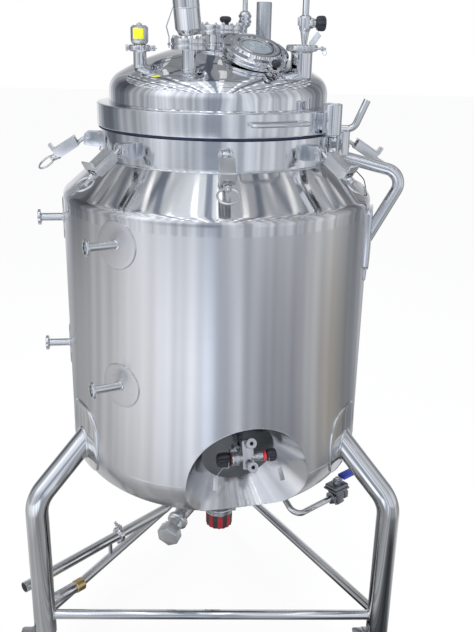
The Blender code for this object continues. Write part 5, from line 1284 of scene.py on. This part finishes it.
level = Z - 1.262
elbow, valve_at = np.array([0.278, -0.3, level]), np.array([0.436, -0.168, level])
flow = (valve_at - elbow) / np.linalg.norm(valve_at - elbow)
start = np.array([0.216, -0.19, bottom_height(0.288) + 0.008])
piece("side_pipe_skin",
    [swept(eased([start, elbow, valve_at - flow * 0.03], 0.034, 10), 0.0106, 28)], TUBE,
    ("side_pipe",))
VALVE = along(valve_at, (0.0, 0.0, 1.0), flow)
long_way = VALVE @ turn("Y", 90.0)
ball_forms = [box((-0.016, -0.0235, -0.0235), (0.016, 0.0235, 0.0235), VALVE, 0.004),
    lathe(mm((0, 40), (15, 40), (19, 38), (19, -27), (0, -27)), long_way, 40, 0.002),
    hexagon(0.0235, 0.0245, 0.0418, long_way), hexagon(0.0235, -0.0297, -0.0205, long_way),
    box((-0.036, -0.03, 0.03), (0.036, 0.03, 0.037), VALVE, 0.0025),
    box((-0.033, -0.027, 0.0365), (0.033, 0.027, 0.05), VALVE, 0.004),
    lathe(mm((0, 63.7), (15, 63.7), (15, 24), (17, 21.5), (0, 21.5)), VALVE, 36)]
for y in (-0.0175, 0.0175):
    for x in (-0.0175, 0.0175):
        for low in (0.016, -0.02):
            ball_forms.append(hexagon(0.0052, low, low + 0.004, long_way @ at(x, y)))
piece("ball_valve_skin", ball_forms, DULL_CAST_AND_SHADE, ("ball_valve",), sharp=36.0)
LEVER = VALVE @ at(0, 0, 0.064)
lever = mm((-13, -11), (20, -12.5), (94, -12.5), (100, -8), (100, 8), (94, 12.5), (20, 12.5),
    (-13, 11))
piece("lever_skin", [slab(lever, 0.0002, 0.004, LEVER, 0.0008, 0.002),
    hexagon(0.008, 0.0, 0.011, LEVER)], CAST, ("valve_lever",), "valve_lever",
    sharp=38.0)
piece("lever_sleeve", [box((0.02, -0.0165, -0.0028), (0.098, 0.0165, 0.0105), LEVER, 0.0035)], BLUE,
    (), "valve_lever")
print("pieces:", len(made), "with", sum(made.values()), "faces")

# %% [markdown]
# ## The inner tank
# What is seen of it through the glass is the bare solid, so it keeps its own mesh
# and only gets the satin finish.

# %% Inner tank's finish
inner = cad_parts["inner_vessel"]
inner.data.materials.clear()
inner.data.materials.append(SATIN)

# %% [markdown]
# ## Floor, tent, light and camera
# Polished steel shows what stands round it, so the maker builds a tent of bright and
# grey cloth about the vessel, as a photographer does for such things. Only mirror
# rays see the tent. The camera sees a white background and a white floor, on which
# the vessel leaves a soft shadow.

# %% World
def mix_colours(tree, share, a, b, kind="MIX"):
    """kind of a and b, by share; a and b are sockets or colours."""
    a, b = ((*c, 1.0) if isinstance(c, tuple) else c for c in (a, b))
    return added(tree, "Mix", {0: share, 6: a, 7: b}, 2, data_type="RGBA", blend_type=kind)


def seen_directly(tree):
    """1 for rays from the camera, a mirror or a glass, and 0 for soft light."""
    path = tree.nodes.new("ShaderNodeLightPath")
    either = math_node(tree, "MAXIMUM", path.outputs["Is Camera Ray"],
        path.outputs["Is Glossy Ray"])
    return math_node(tree, "MAXIMUM", either, path.outputs["Is Transmission Ray"])


world = bpy.data.worlds.new("white_studio")
bpy.context.scene.world = world
world.use_nodes = True
wt = world.node_tree
sky = mix_colours(wt, seen_directly(wt), (0.72, 0.735, 0.76), (1.0, 1.0, 1.0))
fill(wt, wt.nodes["Background"], {"Color": sky})

# %% Floor
def stage(name, forms, material):
    points, faces = forms
    mesh = bpy.data.meshes.new(name)
    mesh.from_pydata(points.tolist(), [], faces)
    mesh.materials.append(material)
    obj = bpy.data.objects.new(name, mesh)
    bpy.context.scene.collection.objects.link(obj)
    obj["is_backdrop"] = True
    return obj


floor_mat, ft, floor_shader = empty_material("pale_floor")
fill(ft, floor_shader, {"Base Color": (0.9, 0.9, 0.9, 1.0), "Roughness": 0.8})
glow = added(ft, "Emission", {"Color": (1.0, 1.0, 1.0, 1.0)})
glow_share = math_node(ft, "MULTIPLY", seen_directly(ft), 0.9)
lit = added(ft, "MixShader", {0: glow_share, 1: floor_shader.outputs[0], 2: glow})
fill(ft, ft.nodes["Material Output"], {"Surface": lit})
FLOOR = 30.0
floor_corners = np.array([[[x, -FLOOR, 0.0], [x, FLOOR, 0.0]] for x in (-FLOOR, FLOOR)])
stage("floor", grid(floor_corners), floor_mat)

# %% [markdown]
# ## The tent
# The tent is a drum with a floor cloth and a ceiling. Its cloth is painted by the
# angle round the vessel: 0 is towards the camera and 90 to the right. One set of
# bands is for the cloth at eye level, one for the cloth below it, which the upright
# wall mirrors, and one for what lies underfoot, which the rounded bottom mirrors.
# The ceiling has rows of bright panels and dark beams.

# %% Tent
TENT_MID, TENT_R, TENT_TOP = 1.35, 7.0, 5.6
EYE_LEVEL = [(-180, 1.05, 0.2), (-150, 0.8, 0.4), (-138, 0.42, 0.8), (-128, 0.19, 1.2),
    (-114, 0.15, 1.2), (-103, 0.32, 0.9), (-95, 0.48, 0.4), (-82, 0.42, 0.6), (-70, 0.54, 0.5),
    (-57, 0.84, 0.6), (-43, 0.74, 0.6), (-29, 0.5, 0.8), (-20, 0.62, 0.8), (-13, 0.46, 1.2),
    (-3, 0.3, 1.6), (3, 0.42, 1.2), (10, 0.9, 0.7), (18, 0.52, 0.9), (26, 0.68, 0.8),
    (33, 0.9, 0.7), (41, 0.58, 0.7), (49, 0.74, 0.6), (59, 0.55, 0.7), (76, 0.74, 0.5),
    (87, 0.8, 0.3), (95, 0.6, 0.5), (106, 0.45, 0.6), (120, 0.22, 0.9), (142, 0.46, 0.5),
    (165, 1.05, 0.2), (180, 1.05, 0.2)]
LOW_CLOTH = [(-180, 0.55, 0.4), (-155, 0.6, 0.4), (-130, 0.42, 0.3), (-104, 0.56, 0.1),
    (-85, 0.66, 0.1), (-70, 0.84, 0.3), (-49, 1.04, 0.3), (-37, 1.32, 0.5), (-28, 1.06, 0.7),
    (-19, 1.45, 0.6), (-12, 1.1, 0.7), (-7, 1.48, 1.2), (-1, 0.9, 1.4), (4, 0.48, 1.2),
    (10, 0.6, 1.0), (16, 0.92, 0.9), (22, 0.52, 0.9), (34, 0.37, 0.8), (58, 0.34, 0.8),
    (67, 0.6, 0.4), (80, 0.46, -0.4), (93, 0.4, -1.2), (108, 0.29, 0.2), (126, 0.28, 0.8),
    (145, 0.52, 0.4), (180, 0.55, 0.4)]
UNDERFOOT = [(-180, 0.7, 0.1), (-130, 0.68, 0.1), (-91, 0.62, 0.1), (-67, 0.4, 0.3),
    (-52, 0.46, 0.2), (-38, 0.38, 0.3), (-25, 0.32, 0.3), (-12, 0.27, 0.4), (0, 0.32, 0.4),
    (12, 0.42, 0.4), (25, 0.4, 0.4), (38, 0.1, 0.8), (52, 0.03, 0.8), (67, 0.1, 0.8),
    (84, 0.5, 0.4), (100, 0.68, 0.1), (180, 0.7, 0.1)]


def cloth(rows):
    """(angle, brightness, blue) to the marks of a colour ramp from -180 to 180."""
    tones = [(v * (1.0 - 0.06 * t), v, v * (1.0 + 0.12 * t)) for _, v, t in rows]
    return [((row[0] + 180.0) / 360.0, tone) for row, tone in zip(rows, tones)]


def dimmed(colour, least, span):
    """colour times least where a ray points below the span of heights, and as it is above."""
    share = spread(tt, ray_xyz["Z"], least, 1.0, *span)
    grey = ramp(tt, share, [(0.0, (0.0,) * 3), (1.0, (1.0,) * 3)])
    return mix_colours(tt, 1.0, colour, grey, "MULTIPLY")


# Each pair holds the heights (Z of a ray of length 1) between which one thing
# changes into another: the low cloth, its shaded hem, the cloth underfoot, the
# painted shadow right under the vessel, and the gain of the upper cloth.
LOW_BEGINS, HEM, UNDERFOOT_BEGINS = (-0.27, -0.15), (-0.56, -0.4), (-0.68, -0.56)
SHADOW_STRAIGHT_DOWN, HIGH_BEGINS = (-0.955, -0.905), (0.06, 0.34)
PANEL_PITCH, PANEL_SHARE = (0.85, 1.3), (0.22, 0.55)
BEAM_PITCH, BEAM_SHARE = (1.7, 2.6), (0.14, 0.1)

tent_mat, tt, shader = empty_material("tent_cloth")
tt.nodes.remove(shader)
centred = own_point(tt, shift=(-AXIS[0], -AXIS[1], -TENT_MID))
unit = added(tt, "VectorMath", {0: centred}, operation="NORMALIZE")
ray_xyz, spot_xyz = split_xyz(tt, unit), split_xyz(tt, centred)
round_it = math_node(tt, "ARCTAN2", ray_xyz["X"], math_node(tt, "MULTIPLY", ray_xyz["Y"], -1.0))
round_it = math_node(tt, "ADD", math_node(tt, "MULTIPLY", round_it, 0.5 / math.pi), 0.5)
folds = added(tt, "TexNoise", {"Scale": 60.0, "Detail": 3.0, "W": round_it}, "Fac",
    noise_dimensions="1D")
lower = spread(tt, ray_xyz["Z"], 1.0, 0.0, *LOW_BEGINS)
walls = mix_colours(tt, lower, ramp(tt, round_it, cloth(EYE_LEVEL)),
    ramp(tt, round_it, cloth(LOW_CLOTH)))
walls = dimmed(walls, 0.84, HEM)
steep = spread(tt, ray_xyz["Z"], 1.0, 0.0, *UNDERFOOT_BEGINS)
walls = mix_colours(tt, steep, walls, ramp(tt, round_it, cloth(UNDERFOOT)))
# The vessel's shadow on the floor right under it is painted into the cloth here.
walls = dimmed(walls, 0.25, SHADOW_STRAIGHT_DOWN)
fold_tone = spread(tt, folds, 0.8, 1.22, 0.34, 0.66)


def rows_of(value, pitch, share):
    """1 in the first share of each pitch metres."""
    part = math_node(tt, "FRACT", math_node(tt, "DIVIDE", value, pitch), 0.0)
    return math_node(tt, "LESS_THAN", part, share)


panels = math_node(tt, "MULTIPLY", rows_of(spot_xyz["X"], PANEL_PITCH[0], PANEL_SHARE[0]),
    rows_of(spot_xyz["Y"], PANEL_PITCH[1], PANEL_SHARE[1]))
beam_x = math_node(tt, "ADD", spot_xyz["X"], 0.4)
beams = math_node(tt, "MAXIMUM", rows_of(beam_x, BEAM_PITCH[0], BEAM_SHARE[0]),
    rows_of(spot_xyz["Y"], BEAM_PITCH[1], BEAM_SHARE[1]))
ceiling = mix_colours(tt, beams, (0.58, 0.61, 0.65), (0.2, 0.23, 0.29))
ceiling = mix_colours(tt, panels, ceiling, (1.6, 1.6, 1.6))
GAIN = [(0.0, 0.5), (0.18, 0.55), (0.25, 1.0), (0.33, 1.6), (0.48, 1.75), (0.55, 1.1), (0.65, 0.8),
    (0.82, 0.85), (0.9, 0.55), (1.0, 0.5)]
upper_left = ramp(tt, round_it, [(share, (gain,) * 3) for share, gain in GAIN])
high_up = spread(tt, ray_xyz["Z"], 0.0, 1.0, *HIGH_BEGINS)
overhead = math_node(tt, "GREATER_THAN", spot_xyz["Z"], TENT_TOP - TENT_MID - 0.01)
painted = mix_colours(tt, overhead, walls, ceiling)
brighter = mix_colours(tt, 1.0, painted, upper_left, "MULTIPLY")
colour = mix_colours(tt, high_up, painted, brighter)
light_out = added(tt, "Emission", {"Color": colour, "Strength": fold_tone})
fill(tt, tt.nodes["Material Output"], {"Surface": light_out})
drum, drum_faces = turned([(0.0, 0.001), (3.0, 0.001), (TENT_R, 0.001), (TENT_R, TENT_TOP),
    (0.0, TENT_TOP)], steps=96)
tent = stage("tent", (drum + AXIS, drum_faces), tent_mat)
tent.visible_camera = tent.visible_diffuse = tent.visible_shadow = tent.visible_transmission = False
print("tent:", len(drum_faces), "faces, seen by mirror rays only")

# %% Lamps
LAMPS_AIM = np.array([0.0, 0.0, 1.2])


def lamp_at(name, place, power, size, size_y):
    """A rectangle of light that looks at the vessel's middle and that no mirror shows."""
    light = bpy.data.lights.new(name, "AREA")
    light.shape = "RECTANGLE"
    light.size, light.size_y, light.energy = size, size_y, power
    obj = bpy.data.objects.new(name, light)
    obj.matrix_world = Matrix(along(place, np.array(place) - LAMPS_AIM).tolist())
    bpy.context.scene.collection.objects.link(obj)
    obj.visible_glossy = False


lamp_at("key", (-2.0, -2.6, 3.6), 90.0, 1.2, 1.2)
lamp_at("fill", (2.6, -2.0, 2.6), 45.0, 0.5, 2.0)
lamp_at("top", (0.3, 0.4, 4.4), 70.0, 2.4, 0.5)

# %% Camera at the photograph's angle
f_px, height_px = 790.0, 632
pitch, roll = math.radians(19.57), math.radians(1.25)
yaw = math.radians(1.62)
fw = np.array([math.sin(yaw) * math.cos(pitch), math.cos(yaw) * math.cos(pitch), -math.sin(pitch)])
right = np.cross(fw, [0.0, 0.0, 1.0])
right /= np.linalg.norm(right)
upward = np.cross(right, fw)
r_axis = math.cos(roll) * right + math.sin(roll) * upward
u_axis = -math.sin(roll) * right + math.cos(roll) * upward
cam = bpy.data.cameras.new("camera")
cam.sensor_width = 36.0
cam.lens = f_px * 36.0 / height_px
camera = bpy.data.objects.new("camera", cam)
m = np.eye(4)
m[:3, 0], m[:3, 1], m[:3, 2] = r_axis, u_axis, -fw
m[:3, 3] = np.array([0.0, -2.6, Z + 0.2775]) + AXIS
camera.matrix_world = Matrix(m.tolist())
bpy.context.scene.collection.objects.link(camera)
bpy.context.scene.camera = camera
bpy.context.scene.view_settings.view_transform = "Standard"

low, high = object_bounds()
